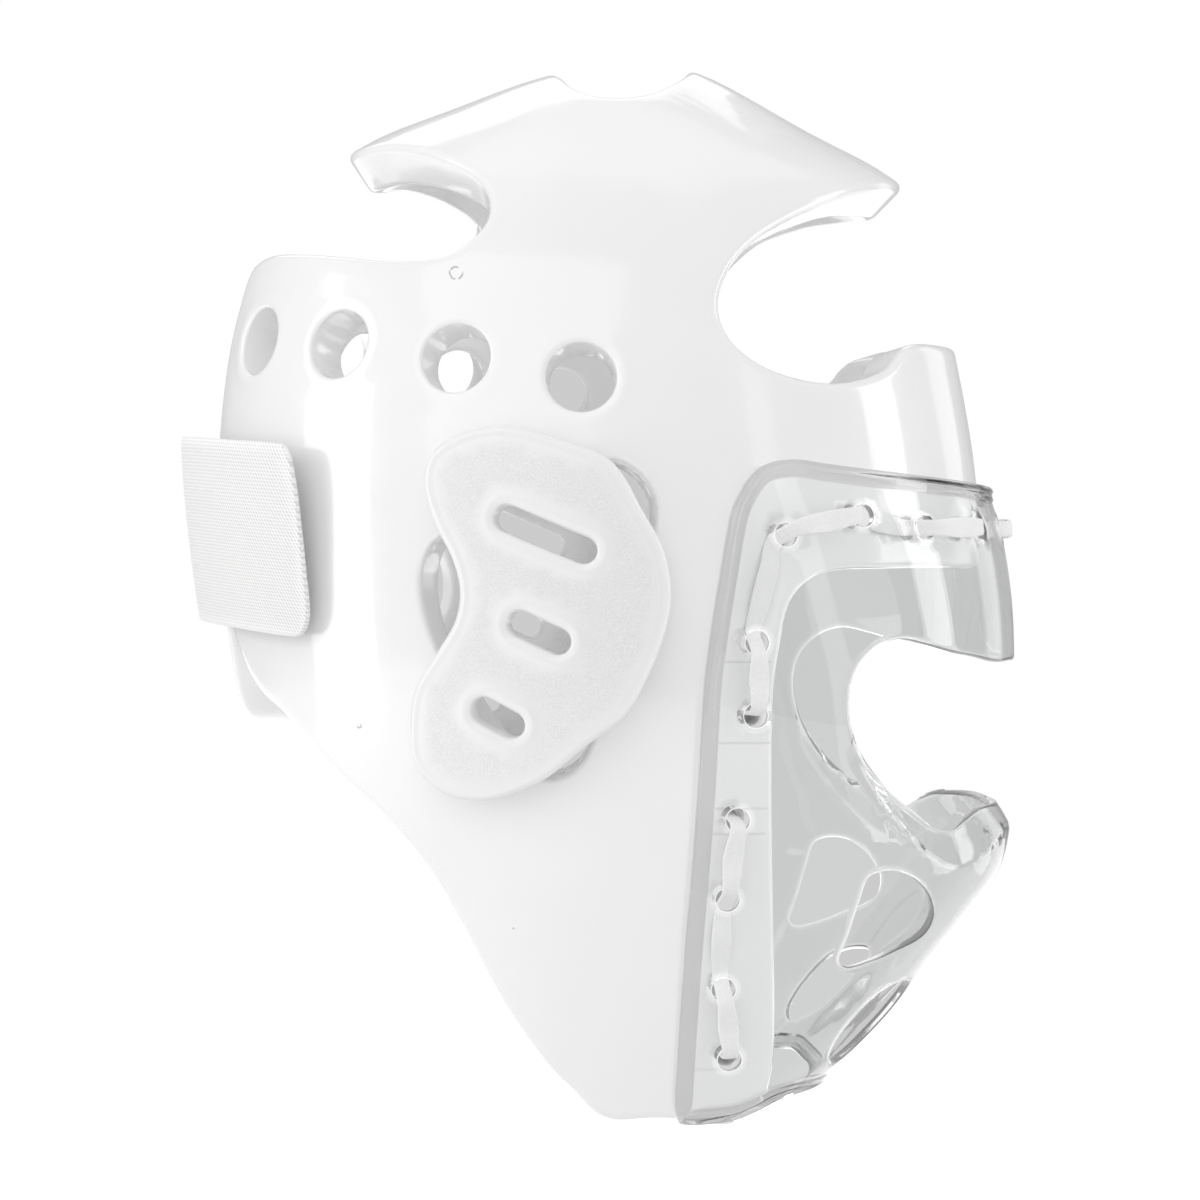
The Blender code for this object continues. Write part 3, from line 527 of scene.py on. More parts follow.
def strap_rise(bearing, drop):
    """How far the strap's outer face stands off the foam: it bridges the open back in a flatter curve."""
    behind = np.clip((np.abs(bearing) - STRAP_BULGE_BEARING) / STRAP_BULGE_DEGREES, 0, 1)
    down = np.clip((drop - STRAP_TOP_DROP) / (STRAP_BOTTOM_DROP - STRAP_TOP_DROP), 0, 1)
    bulge = STRAP_BULGE_TOP + (STRAP_BULGE_BOTTOM - STRAP_BULGE_TOP) * down
    return STRAP_GAP + STRAP_THICKNESS + bulge * behind**2 * (3 - 2 * behind)


def shield_height(bearing, drop):
    """How far out along the foam's normal the shield's outer face lies."""
    base = foam_form(bearing, drop)
    normal = foam_normal(bearing, drop)
    height = np.full(np.shape(bearing), 5 * MM)
    for _ in range(4):
        point = base + normal * height[..., None]
        turn = np.degrees(np.arctan2(point[..., 1], point[..., 0] - SHIELD_CENTRE_X))
        on_shield = shield_form(turn, point[..., 2] / MM)
        height = height + np.sum((on_shield - point) * normal, axis=-1)
    return height


def lace_hole_places():
    """Where the lace goes through the foam or the shield on the left side: bearing and drop."""
    return [(float(row[0]), float(row[1])) for row in LACE_ROUTE if row[2].startswith("hole")]


def lace_path():
    """The lace down the left side: rows of a point, the direction of its width there, and the width."""
    rows = np.array([(bearing, drop) for bearing, drop, _ in LACE_ROUTE], float)
    base = foam_form(rows[:, 0], rows[:, 1])
    normal = foam_normal(rows[:, 0], rows[:, 1])
    outer = shield_height(rows[:, 0], rows[:, 1])
    over = outer + LACE_CLEARANCE + LACE_THICKNESS / 2
    under = np.full(len(rows), LACE_CLEARANCE + LACE_THICKNESS / 2)
    inside = np.full(len(rows), -FOAM_THICKNESS - LACE_CLEARANCE - LACE_THICKNESS / 2)
    level = {
        "over": over,
        "under": under,
        "inside": inside,
        "rim_inner": inside + LACE_RIM_INNER,
        "rim": under * 0 - FOAM_THICKNESS / 2,
        "rim_outer": under - LACE_RIM_OUTER,
    }
    kinds = [kind for _, _, kind in LACE_ROUTE]
    turned_back = kinds.index("rim_inner")
    path = []
    for i, kind in enumerate(kinds):
        if i < turned_back:
            ahead = base[i + 1] - base[max(i - 1, 0)]
            across = np.cross(normal[i], ahead)
            across /= np.linalg.norm(across)
        along = np.cross(across, normal[i])
        if kind in level:
            path.append((*(base[i] + normal[i] * level[kind][i]), *across, LACE_WIDTH))
            continue
        before = level[kinds[i - 1]][i]
        after = level[kinds[i + 1]][i]
        middle = (before + after) / 2
        for shift, height in ((-LACE_HOLE_SLANT, before), (0, middle), (LACE_HOLE_SLANT, after)):
            point = base[i] + along * shift + normal[i] * height
            path.append((*point, *across, LACE_WIDTH_IN_HOLE))
    return np.array(path)


def outward_normal(form, u, v):
    """The form's unit normal, turned away from the middle of the head."""
    normal = surface_normal(form, u, v)
    away = form(u, v) - np.array([0.0, 0.0, HEAD_MIDDLE_Z])
    turned = np.sum(normal * away, axis=-1)
    return normal * np.where(np.median(turned) < 0, -1.0, 1.0)


def rounded(radius, steps, lip=()):
    """A rim's rings: a quarter round down to its edge, and then any lip. Distance in, and rise."""
    rings = []
    for k in range(steps + 1):
        turn = math.pi / 2 * k / steps
        rings.append((radius * (1 - math.cos(turn)), -radius * (1 - math.sin(turn))))
    return rings + list(lip)


# Small scuffs on the right side: x and z of the middle, the ring's radius and its line, in mm.
MARKS = [(-46.0, -40.2, 1.6, 0.35), (-31.5, -209.0, 0.0, 0.5), (-71.0, -157.0, 0.5, 0.3)]

# A small plain patch on the right rear flap: its bearings and drops, and how soft its edges are.
PATCH = ((-175.0, -168.0), (105.0, 130.0))
PATCH_SOFTNESS = (0.3, 0.5)

# The weaves' repeats, in mm.
STRAP_RIB_MM = 1.15
STRAP_ROW_MM = 0.9
LACE_BRAID_MM = 0.8

# Heights of the fine mould lines across the shield's side flanges, in mm. The lines are real, but their dark
# look is painted shade in the plastic's colour.
SEAM_LEVELS = [-140.0, -160.8, -177.7, -184.2, -246.0]

# Rims: the step along the edge, and the rings from the edge into the piece.
FOAM_RIM = (2.6 * MM, rounded(2.2, 4, [(3.2, 0.0)]))
EAR_OPENING_RIM = (2.4 * MM, rounded(1.8, 4))
VENT_RIM = (1.6 * MM, rounded(1.1, 4, [(2.2, 0.14), (3.8, 0.0)]))
COVER_RIM = (2.0 * MM, rounded(2.0, 5, [(2.7, -0.28), (3.5, 0.0)]))
SLOT_RIM = (0.8 * MM, rounded(1.1, 4, [(1.8, 0.28), (2.8, 0.3), (3.6, 0.0)]))
STRAP_RIM = (1.6 * MM, rounded(0.7, 3))
SHIELD_RIM = (
    1.5 * MM,
    [
        (0.0, 0.0), (0.2, 0.6), (0.5, 1.0), (0.9, 1.2), (1.7, 1.2),
        (2.1, 0.75), (2.5, 0.6), (3.8, 0.55), (4.3, 0.0), (4.7, 0.0),
    ],
)
OPENING_RINGS = rounded(0.9, 4, [(1.8, 0.0)])
NOSE_RIM = (1.3 * MM, OPENING_RINGS)
SHIELD_VENT_RIM = (1.1 * MM, OPENING_RINGS)
LACE_HOLE_RIM = (0.8 * MM, rounded(0.4, 3, [(1.2, 0.15), (2.0, 0.0)]))

# The least mark of painted shade on the outer rim, so that all of the shield's raised rim is painted darker.
LEAST_PAINTED_RIM_SHADE = 0.85

# Painted light: the clear plastic glows by emission along the edges of its openings, standing for the light
# it gathers and lets out there.
PAINTED_EDGE_GLOW = 0.26

# The meshes: how near to a border a place may be, in spacings, and the points of curves.
BORDER_CLEARANCE = 0.62
VENT_SIDES = 48
LACE_HOLE_SIDES = 32
SLOT_END_STEPS = 15
CURVE_STEPS = 12


def steepness(rings):
    """How steep a rim is at each of its rings: 0 where it is level and up to 1."""
    slopes = []
    for (width_a, rise_a), (width_b, rise_b) in zip(rings[:-1], rings[1:]):
        slopes.append(min(1.0, abs(rise_b - rise_a) / (width_b - width_a)))
    return [(a + b) / 2 for a, b in zip([slopes[0]] + slopes, slopes + [0.0])]


def rim_rings(form, chart, curve, is_hole, step, rings):
    """The loops of a rim, from its edge into the material, each with its rise and steepness."""
    loop = even_loop(form, curve, step)
    if (signed_area(chart(loop[:, 0], loop[:, 1])) < 0) != is_hole:
        loop = loop[::-1].copy()
    points = form(loop[:, 0], loop[:, 1])
    ahead = np.roll(points, -1, axis=0) - np.roll(points, 1, axis=0)
    ahead /= np.linalg.norm(ahead, axis=1, keepdims=True)
    left = np.cross(surface_normal(form, loop[:, 0], loop[:, 1]), ahead)
    probe = moved_on(form, loop, left * 0.1 * MM)
    base = chart(loop[:, 0], loop[:, 1])
    turn = np.roll(base, -1, axis=0) - np.roll(base, 1, axis=0)
    shift = chart(probe[:, 0], probe[:, 1]) - base
    if np.sum(turn[:, 0] * shift[:, 1] - turn[:, 1] * shift[:, 0]) < 0:
        left = -left
    made = []
    done = 0
    for (width, rise), steep in zip(rings, steepness(rings)):
        wanted = math.ceil(2 * (0.6 * width * MM / step) ** 2)
        for _ in range(wanted - done):
            left = (np.roll(left, 1, axis=0) + 2 * left + np.roll(left, -1, axis=0)) / 4
        done = max(done, wanted)
        made.append((moved_on(form, loop, left * width * MM), rise * MM, steep))
    return made


def sheet_faces(rims, borders, inner_count, flat, flat_borders):
    """Faces of the outer side: the middle from the borders inwards, and quads between each rim's rings."""
    edges = []
    start = 0
    for loop in borders:
        edges += [(start + i, start + (i + 1) % len(loop)) for i in range(len(loop))]
        start += len(loop)
    scale = np.abs(flat).max()
    found = delaunay_2d_cdt([tuple(p) for p in flat / scale], edges, [], 0, 1e-9)
    origin = [ids[0] for ids in found[3]]
    triangles = np.array([[origin[i] for i in face] for face in found[2]])
    triangles = triangles[inside_loops(flat[triangles].mean(axis=1), flat_borders)]
    faces = [tuple(int(i) for i in face) for face in triangles]

    border_start = 0
    next_start = start + inner_count
    edge_loops = []
    for rim in rims:
        count = len(rim[0][0])
        inside_start = border_start
        for _ in rim[-2::-1]:
            for i in range(count):
                j = (i + 1) % count
                faces.append((inside_start + i, next_start + i, next_start + j, inside_start + j))
            inside_start = next_start
            next_start += count
        edge_loops.append((inside_start, count))
        border_start += count
    return faces, edge_loops


def thick_sheet(form, chart, loops, spacing, area, thickness, inner_rise):
    """A closed sheet of the form inside the first loop and outside the others.

    It gives the places, the points, the faces and the marks that add_piece takes.
    A loop is its curve, its step along the edge and the rings of its rim. The outer side follows the
    rings' rises. The inner side follows the rounding, and the lips as far as inner_rise says.
    """
    rims = []
    for number, (curve, step, rings) in enumerate(loops):
        rims.append(rim_rings(form, chart, curve, number > 0, step, rings))
    borders = [rim[-1][0] for rim in rims]
    flat_borders = [chart(border[:, 0], border[:, 1]) for border in borders]
    inner = rows_of_places(form, area[0], area[1], spacing)
    inner = inner[inside_loops(chart(inner[:, 0], inner[:, 1]), flat_borders)]
    border = np.vstack(borders)
    tree = kdtree.KDTree(len(border))
    for number, point in enumerate(form(border[:, 0], border[:, 1])):
        tree.insert(point, number)
    tree.balance()
    clear = [tree.find(point)[2] > BORDER_CLEARANCE * spacing for point in form(inner[:, 0], inner[:, 1])]
    inner = inner[clear]
    places = np.vstack([border, inner])
    flat = chart(places[:, 0], places[:, 1])
    faces, edge_loops = sheet_faces(rims, borders, len(inner), flat, flat_borders)

    rises = [np.full(len(rim[-1][0]), rim[-1][1]) for rim in rims] + [np.zeros(len(inner))]
    painted_rim_shades = [np.zeros(len(places))]
    painted_edge_glows = [np.zeros(len(places))]
    near_rim = [np.ones(len(border)), np.zeros(len(inner))]
    all_places = [places]
    for rim in rims:
        for loop, rise, steep in rim[-2::-1]:
            all_places.append(loop)
            rises.append(np.full(len(loop), rise))
            outer = rim is rims[0]
            # The outer rim's loops carry a mark of painted shade, never less than the least one.
            painted_rim_shades.append(np.full(len(loop), max(steep, LEAST_PAINTED_RIM_SHADE) if outer else 0.0))
            # The rims of openings carry the strength of a painted glow.
            painted_edge_glows.append(np.full(len(loop), 0.0 if outer else steep))
            near_rim.append(np.ones(len(loop)))
    places = np.vstack(all_places)
    rise = np.concatenate(rises)[:, None]
    named = {"near_rim": near_rim, "steep": painted_rim_shades, "opening_edge": painted_edge_glows}
    marks = {name: np.tile(np.concatenate(values), 2) for name, values in named.items()}
    base = form(places[:, 0], places[:, 1])
    normal = outward_normal(form, places[:, 0], places[:, 1])
    depth = thickness + np.minimum(rise, 0) - np.maximum(rise, 0) * inner_rise
    points = np.vstack([base + normal * rise, base - normal * depth])

    count = len(places)
    closed = list(faces)
    closed += [tuple(i + count for i in face[::-1]) for face in faces]
    for start, size in edge_loops:
        for i in range(size):
            a = start + i
            b = start + (i + 1) % size
            closed.append((b, a, a + count, b + count))
    return np.vstack([places, places]), points, closed, marks


def add_piece(name, node, finish, sheet):
    """A smooth closed mesh that rides with the head guard and stands for a CAD node."""
    places, points, faces, marks = sheet
    mesh = bpy.data.meshes.new(name)
    mesh.from_pydata([tuple(p) for p in points], [], faces)
    mesh.materials.append(finish)
    layer = mesh.uv_layers.new(name="place")
    corners = np.zeros(len(mesh.loops), np.int64)
    mesh.loops.foreach_get("vertex_index", corners)
    layer.data.foreach_set("uv", np.asarray(places)[corners].astype(np.float32).ravel())
    for mark, values in marks.items():
        attribute = mesh.attributes.new(mark, "FLOAT", "POINT")
        attribute.data.foreach_set("value", values.astype(np.float32))
    mesh.validate()
    obj = bpy.data.objects.new(name, mesh)
    bpy.context.scene.collection.objects.link(obj)
    face_out(obj)
    mesh.shade_smooth()
    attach(obj, "root")
    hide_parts(node)
    return obj


def face_out(obj):
    """Turns a closed mesh the right way round by the sign of its volume."""
    mesh = obj.data
    volume = 0.0
    for face in mesh.polygons:
        corners = [mesh.vertices[i].co for i in face.vertices]
        for second, third in zip(corners[1:-1], corners[2:]):
            volume += corners[0].dot(second.cross(third))
    if volume < 0:
        mesh.flip_normals()


def make_foam(finish):
    loops = [(closed_curve(foam_outline()), *FOAM_RIM)]
    for half in (FRONT_NOTCH, TOP_HOLE):
        loops.append((closed_curve(mirrored(half)), *FOAM_RIM))
    for side in (-1, 1):
        loops.append((closed_curve(np.array(EAR_OPENING) * (side, 1)), *EAR_OPENING_RIM))
        for bearing, drop in VENT_CENTRES:
            loops.append((circle_on(foam_form, (bearing * side, drop), VENT_RADIUS, VENT_SIDES), *VENT_RIM))
    sheet = thick_sheet(foam_form, foam_chart, loops, FOAM_SPACING, FOAM_AREA, FOAM_THICKNESS, 0)
    foam = add_piece("foam_shell_dipped", "foam_shell", finish, sheet)
    boolean = foam.modifiers.new("lace holes", "BOOLEAN")
    boolean.operation = "DIFFERENCE"
    boolean.object = lace_hole_cutter()
    boolean.solver = "EXACT"


def slot_outline(form, row, side):
    """A round-ended slot about a line between two places on the form."""
    bearing_a, drop_a, bearing_b, drop_b, half_width = row
    ends = np.array([(bearing_a * side, drop_a), (bearing_b * side, drop_b)], float)
    points = form(ends[:, 0], ends[:, 1])
    along = (points[1] - points[0]) / np.linalg.norm(points[1] - points[0])
    outline = []
    for place, sign in ((ends[0], -1), (ends[1], 1)):
        across = np.cross(surface_normal(form, place[0], place[1]), along)
        for angle in np.radians(np.linspace(-90, 90, SLOT_END_STEPS)):
            step = half_width * MM * sign * (along * math.cos(angle) + across * math.sin(angle))
            outline.append(moved_on(form, place[None], step[None])[0])
    return np.array(outline)


def make_cover(name, node, side, finish):
    form = raised_foam(COVER_GAP + COVER_THICKNESS)
    loops = [(closed_curve(np.array(EAR_COVER) * (side, 1)), *COVER_RIM)]
    for row in COVER_SLOTS:
        loops.append((slot_outline(form, row, side), *SLOT_RIM))
    area = (sorted(bearing * side for bearing in COVER_BEARINGS), COVER_DROPS)
    sheet = thick_sheet(form, foam_chart, loops, COVER_SPACING, area, COVER_THICKNESS, 0)
    add_piece(name, node, finish, sheet)


def make_strap(finish):
    """The strap is laid out by turning about the back, so that its outline doesn't cross the seam."""

    def form(turn, drop):
        return raised_foam(strap_rise)(180.0 - np.asarray(turn, float), drop)

    def chart(turn, drop):
        return np.stack([np.asarray(turn) * STRAP_CHART_MM_PER_DEGREE, -np.asarray(drop)], -1)

    end = [(180 - bearing, drop) for bearing, drop in STRAP_END]
    top = [(turn, STRAP_TOP_DROP) for turn in STRAP_TURNS]
    bottom = [(turn, STRAP_BOTTOM_DROP) for turn in STRAP_TURNS[::-1]]
    outline = top + end + bottom + [(-turn, drop) for turn, drop in end[::-1]]
    loops = [(closed_curve(outline), *STRAP_RIM)]
    places, *rest = thick_sheet(form, chart, loops, STRAP_SPACING, STRAP_AREA, STRAP_THICKNESS, 0)
    sheet = (places * (STRAP_MM_PER_DEGREE, 1), *rest)
    add_piece("back_strap_twill", "back_strap", finish, sheet)


def lace_holes(side):
    """Where the lace goes through the shield on one side: bearing and z on the shield's form."""
    places = []
    for bearing, drop in lace_hole_places():
        place = (np.array([bearing]), np.array([drop]))
        point = foam_form(*place)[0] + foam_normal(*place)[0] * shield_height(*place)[0]
        turn = math.degrees(math.atan2(point[1], point[0] - SHIELD_CENTRE_X))
        places.append((turn * side, point[2] / MM))
    return places


def make_shield(finish):
    loops = [(closed_curve(mirrored(SHIELD_OUTLINE)), *SHIELD_RIM)]
    loops.append((closed_curve(mirrored(NOSE_OPENING)), *NOSE_RIM))
    for side in (-1, 1):
        for vent in (SHIELD_VENT, CHIN_VENT):
            loops.append((closed_curve(np.array(vent) * (side, 1)), *SHIELD_VENT_RIM))
        for place in lace_holes(side):
            circle = circle_on(shield_form, place, LACE_HOLE_RADIUS, LACE_HOLE_SIDES)
            loops.append((circle, *LACE_HOLE_RIM))
    sheet = thick_sheet(shield_form, shield_chart, loops, SHIELD_SPACING, SHIELD_AREA, SHIELD_WALL, 1)
    shield = add_piece("face_shield_moulded", "face_shield", finish, sheet)
    shield.visible_shadow = False
    shield.visible_diffuse = False


def ribbon_along(path):
    """A flat lace with rounded edges that follows a path, as the sheet that add_piece takes."""
    length = np.concatenate([[0], np.cumsum(np.linalg.norm(np.diff(path[:, :3], axis=0), axis=1))])
    table = np.column_stack([length, path])
    at = []
    for start, end in zip(length[:-1], length[1:]):
        count = max(1, round((end - start) / LACE_STEP))
        at += list(np.linspace(start, end, count, endpoint=False))
    at = np.array(at + [length[-1]])
    row = smooth_rows(table, at)
    centre = row[:, :3]
    across = row[:, 3:6]
    width = row[:, 6]
    ahead = np.gradient(centre, axis=0)
    ahead /= np.linalg.norm(ahead, axis=1, keepdims=True)
    across -= ahead * np.sum(across * ahead, axis=1, keepdims=True)
    across /= np.linalg.norm(across, axis=1, keepdims=True)
    out = np.cross(ahead, across)
    sides = LACE_SIDES
    half = (width / 2)[:, None]
    rings, places = [], []
    for k in range(sides):
        angle = 2 * math.pi * k / sides
        flat = np.sign(math.cos(angle)) * abs(math.cos(angle)) ** LACE_FLATNESS
        tall = np.sign(math.sin(angle)) * abs(math.sin(angle)) ** LACE_TALLNESS
        rings.append(centre + across * flat * half + out * tall * LACE_THICKNESS / 2)
        places.append(np.column_stack([at / MM, flat * width / 2 / MM]))
    faces = [tuple(range(sides - 1, -1, -1))]
    for i in range(len(centre) - 1):
        for k in range(sides):
            a = sides * i + k
            b = sides * i + (k + 1) % sides
            faces.append((a, b, b + sides, a + sides))
    end = sides * (len(centre) - 1)
    faces.append(tuple(end + k for k in range(sides)))
    return np.stack(places, 1).reshape(-1, 2), np.stack(rings, 1).reshape(-1, 3), faces, {}


def make_lace(finish):
    """One lace: its left half mirrored and run backwards, and then the left half."""
    path = lace_path()
    mirror = np.array([1, -1, 1, -1, 1, -1, 1])
    sheet = ribbon_along(np.vstack([path[:0:-1] * mirror, path]))
    add_piece("shield_lace_woven", "shield_lace", finish, sheet)


def lace_hole_cutter():
    """Round pins, each through the foam at a lace hole, to cut the holes with."""
    verts, faces = [], []
    sides = CUTTER_SIDES
    for bearing, drop in lace_hole_places():
        for side in (-1, 1):
            place = (np.array([bearing * side]), np.array([drop]))
            base = foam_form(*place)[0]
            normal = foam_normal(*place)[0]
            first = np.cross(normal, (0, 0, 1))
            first /= np.linalg.norm(first)
            second = np.cross(normal, first)
            start = len(verts)
            for height in CUTTER_REACH:
                for k in range(sides):
                    angle = 2 * math.pi * k / sides
                    ring = first * math.cos(angle) + second * math.sin(angle)
                    verts.append(tuple(base + normal * height + ring * LACE_HOLE_RADIUS))
            faces.append([start + k for k in range(sides)])
            faces.append([start + sides + k for k in reversed(range(sides))])
            for k in range(sides):
                j = (k + 1) % sides
                faces.append([start + k, start + sides + k, start + sides + j, start + j])
    mesh = bpy.data.meshes.new("lace_hole_cutter")
    mesh.from_pydata(verts, [], faces)
    cutter = bpy.data.objects.new("lace_hole_cutter", mesh)
    bpy.context.scene.collection.objects.link(cutter)
    face_out(cutter)
    cutter.hide_render = True
    cutter.hide_viewport = True
    cutter.display_type = "WIRE"
    return cutter


class Nodes:
    """Short calls for building the node tree of a new material or world."""

    def __init__(self, owner):
        owner.use_nodes = True
        self.owner = owner
        self.tree = owner.node_tree

    def new(self, kind):
        return self.tree.nodes.new("ShaderNode" + kind)

    def link(self, source, target):
        self.tree.links.new(source, target)

    def put(self, socket, value):
        if isinstance(value, bpy.types.NodeSocket):
            self.link(value, socket)
        else:
            socket.default_value = value

    def finish(self, inputs):
        """Sets inputs of the material's shader and gives the material."""
        for name, value in inputs.items():
            self.put(self.tree.nodes["Principled BSDF"].inputs[name], value)
        return self.owner

    def coordinates(self, output):
        return self.new("TexCoord").outputs[output]

    def parts(self, vector):
        split = self.new("SeparateXYZ")
        self.link(vector, split.inputs[0])
        return split.outputs

    def place(self):
        node = self.new("UVMap")
        node.uv_map = "place"
        return self.parts(node.outputs[0])[:2]

    def attribute(self, name):
        node = self.new("Attribute")
        node.attribute_name = name
        return node.outputs["Fac"]

    def noise(self, scale, detail=2.0, roughness=0.5):
        node = self.new("TexNoise")
        self.link(self.coordinates("Object"), node.inputs["Vector"])
        node.inputs["Scale"].default_value = scale
        node.inputs["Detail"].default_value = detail
        node.inputs["Roughness"].default_value = roughness
        return node.outputs["Fac"]

    def maths(self, operation, first, second=0.0):
        node = self.new("Math")
        node.operation = operation
        self.put(node.inputs[0], first)
        self.put(node.inputs[1], second)
        return node.outputs[0]

    def off(self, value, middle):
        """How far a value is from a middle one."""
        return self.maths("ABSOLUTE", self.maths("SUBTRACT", value, middle))

    def waves(self, value, length):
        return self.maths("SINE", self.maths("MULTIPLY", value, 2 * math.pi / length))

    def fade(self, value, low, high, to_low=0.0, to_high=1.0):
        node = self.new("MapRange")
        node.interpolation_type = "SMOOTHSTEP"
        self.link(value, node.inputs["Value"])
        for name, end in (("From Min", low), ("From Max", high), ("To Min", to_low), ("To Max", to_high)):
            self.put(node.inputs[name], end)
        return node.outputs[0]

    def colour(self, amount, first, second):
        node = self.new("Mix")
        node.data_type = "RGBA"
        self.link(amount, node.inputs["Factor"])
        self.put(node.inputs["A"], first)
        self.put(node.inputs["B"], second)
        return node.outputs["Result"]

    def bump(self, height, distance, strength=1.0, before=None):
        node = self.new("Bump")
        node.inputs["Distance"].default_value = distance
        self.put(node.inputs["Strength"], strength)
        self.link(height, node.inputs["Height"])
        if before is not None:
            self.link(before, node.inputs["Normal"])
        return node.outputs[0]


def grey(value):
    return (value, value, value, 1.0)


def new_finish(name):
    return Nodes(bpy.data.materials.new(name))


def small_marks(nodes):
    """Where the right side has a small ring-shaped scuff and a few dark specks."""
    here = nodes.parts(nodes.coordinates("Object"))
    mask = 0.0
    for x, z, radius, line in MARKS:
        flat = nodes.maths("POWER", nodes.maths("SUBTRACT", here["X"], x * MM), 2.0)
        tall = nodes.maths("POWER", nodes.maths("SUBTRACT", here["Z"], z * MM), 2.0)
        distance = nodes.maths("SQRT", nodes.maths("ADD", flat, tall))
        off_line = nodes.off(distance, radius * MM)
        mask = nodes.maths("ADD", mask, nodes.fade(off_line, 0.5 * line * MM, line * MM, 0.9, 0.0))
    broken = nodes.fade(nodes.noise(700), 0.42, 0.52)
    right = nodes.maths("LESS_THAN", here["Y"], 0.0)
    return nodes.maths("MULTIPLY", nodes.maths("MULTIPLY", mask, right), broken)


def rear_patch(nodes):
    """Where a small plain dark patch is, at the back of the right rear flap."""
    mask = 1.0
    for value, (low, high), soft in zip(nodes.place(), PATCH, PATCH_SOFTNESS):
        off = nodes.off(value, (low + high) / 2)
        half = (high - low) / 2
        mask = nodes.maths("MULTIPLY", mask, nodes.fade(off, half - soft, half, 1.0, 0.0))
    return mask


def dipped_vinyl():
    """Glossy white vinyl skin over foam, with a slight orange peel and soft dips."""
    nodes = new_finish("dipped white vinyl")
    base = nodes.colour(nodes.fade(nodes.noise(14), 0.3, 0.7), grey(0.86), grey(0.885))
    base = nodes.colour(small_marks(nodes), base, grey(0.42))
    base = nodes.colour(rear_patch(nodes), base, grey(0.03))
    dips = nodes.bump(nodes.noise(26), 0.0011, 0.7)
    return nodes.finish({
        "Base Color": base,
        "Roughness": nodes.fade(nodes.noise(70, 3), 0.25, 0.75, 0.14, 0.24),
        "Normal": nodes.bump(nodes.noise(430), 0.00006, 0.6, dips),
        "IOR": 1.5,
        "Coat Weight": 0.8,
        "Coat Roughness": 0.06,
    })


def pebbled_vinyl():
    """The ear covers' skin: the same vinyl over coarser foam, finely pebbled but smooth at its rims."""
    nodes = new_finish("pebbled white vinyl")
    grain = nodes.noise(2400, 2, 0.6)
    rim = nodes.attribute("near_rim")
    pebbled = nodes.colour(nodes.fade(grain, 0.35, 0.65), grey(0.76), grey(0.84))
    dips = nodes.bump(nodes.noise(60), 0.0007, 0.6)
    return nodes.finish({
        "Base Color": nodes.colour(rim, pebbled, grey(0.85)),
        "Roughness": nodes.fade(nodes.noise(160, 3), 0.3, 0.7, 0.28, 0.45),
        "Normal": nodes.bump(grain, 0.00014, nodes.fade(rim, 0, 1, 0.7, 0.15), dips),
        "Coat Weight": 0.4,
        "Coat Roughness": 0.2,
    })


def twill_elastic():
    """White woven elastic: fine ribs that run across the strap at a slant, with the gaps between the yarns
    painted darker as shade.
    """
    nodes = new_finish("white woven elastic")
    turn, drop = nodes.place()
    ribs = nodes.waves(nodes.maths("ADD", turn, nodes.maths("MULTIPLY", drop, 0.62)), STRAP_RIB_MM)
    rows = nodes.waves(drop, STRAP_ROW_MM)
    yarn = nodes.maths("ADD", nodes.maths("MULTIPLY", ribs, 0.6), nodes.maths("MULTIPLY", rows, 0.4))
    height = nodes.fade(yarn, -0.9, 0.5)
    strength = nodes.fade(nodes.attribute("near_rim"), 0, 1, 0.8, 0.1)
    return nodes.finish({
        # Painted shade: the colour is darker where the weave is low, in the gaps between the yarns.
        "Base Color": nodes.colour(height, grey(0.72), grey(0.94)),
        "Roughness": 0.85,
        "Normal": nodes.bump(height, 0.0002, strength),
        "Sheen Weight": 0.25,
    })


def woven_lace():
    """Flat white cotton lace with a fine braid, painted darker in the braid's low grooves as shade."""
    nodes = new_finish("white woven lace")
    along, across = nodes.place()
    braid = nodes.waves(nodes.maths("ADD", along, nodes.maths("ABSOLUTE", across)), LACE_BRAID_MM)
    height = nodes.fade(braid, -0.9, 0.8)
    return nodes.finish({
        # Painted shade: the colour is darker where the braid is low.
        "Base Color": nodes.colour(height, grey(0.85), grey(0.93)),
        "Roughness": 0.8,
        "Normal": nodes.bump(height, 0.00012, 0.7),
        "Sheen Weight": 0.2,
    })


def clear_plastic():
    """Clear moulded plastic, with painted shade on its raised rim and along fine mould lines across its side
    flanges, and a painted glow at the edges of its openings.
    """
    nodes = new_finish("clear moulded plastic")
    bearing, height = nodes.place()
    seam = 0.0
    for level in SEAM_LEVELS:
        seam = nodes.maths("MAXIMUM", seam, nodes.fade(nodes.off(height, level), 0.12, 0.4, 1.0, 0.0))
    side = nodes.maths("ABSOLUTE", bearing)
    on_flange = nodes.maths("MULTIPLY", nodes.fade(side, 65.5, 66), nodes.fade(side, 75.5, 76, 1.0, 0.0))
    seam = nodes.maths("MULTIPLY", nodes.maths("MULTIPLY", seam, on_flange), 0.5)
    # Painted shade: the plastic's colour is darkened on its raised rim and along the mould lines.
    painted_shade_tint = nodes.maths("MAXIMUM", seam, nodes.attribute("steep"))
    return nodes.finish({
        "Base Color": nodes.colour(painted_shade_tint, (0.935, 0.94, 0.942, 1.0), grey(0.66)),
        "Roughness": 0.02,
        "Normal": nodes.bump(nodes.noise(30, 1), 0.0002, 0.4),
        "IOR": 1.5,
        "Transmission Weight": 1.0,
        # Painted light: the edges of the openings glow by emission.
        "Emission Color": grey(1.0),
        "Emission Strength": nodes.maths("MULTIPLY", nodes.attribute("opening_edge"), PAINTED_EDGE_GLOW),
    })


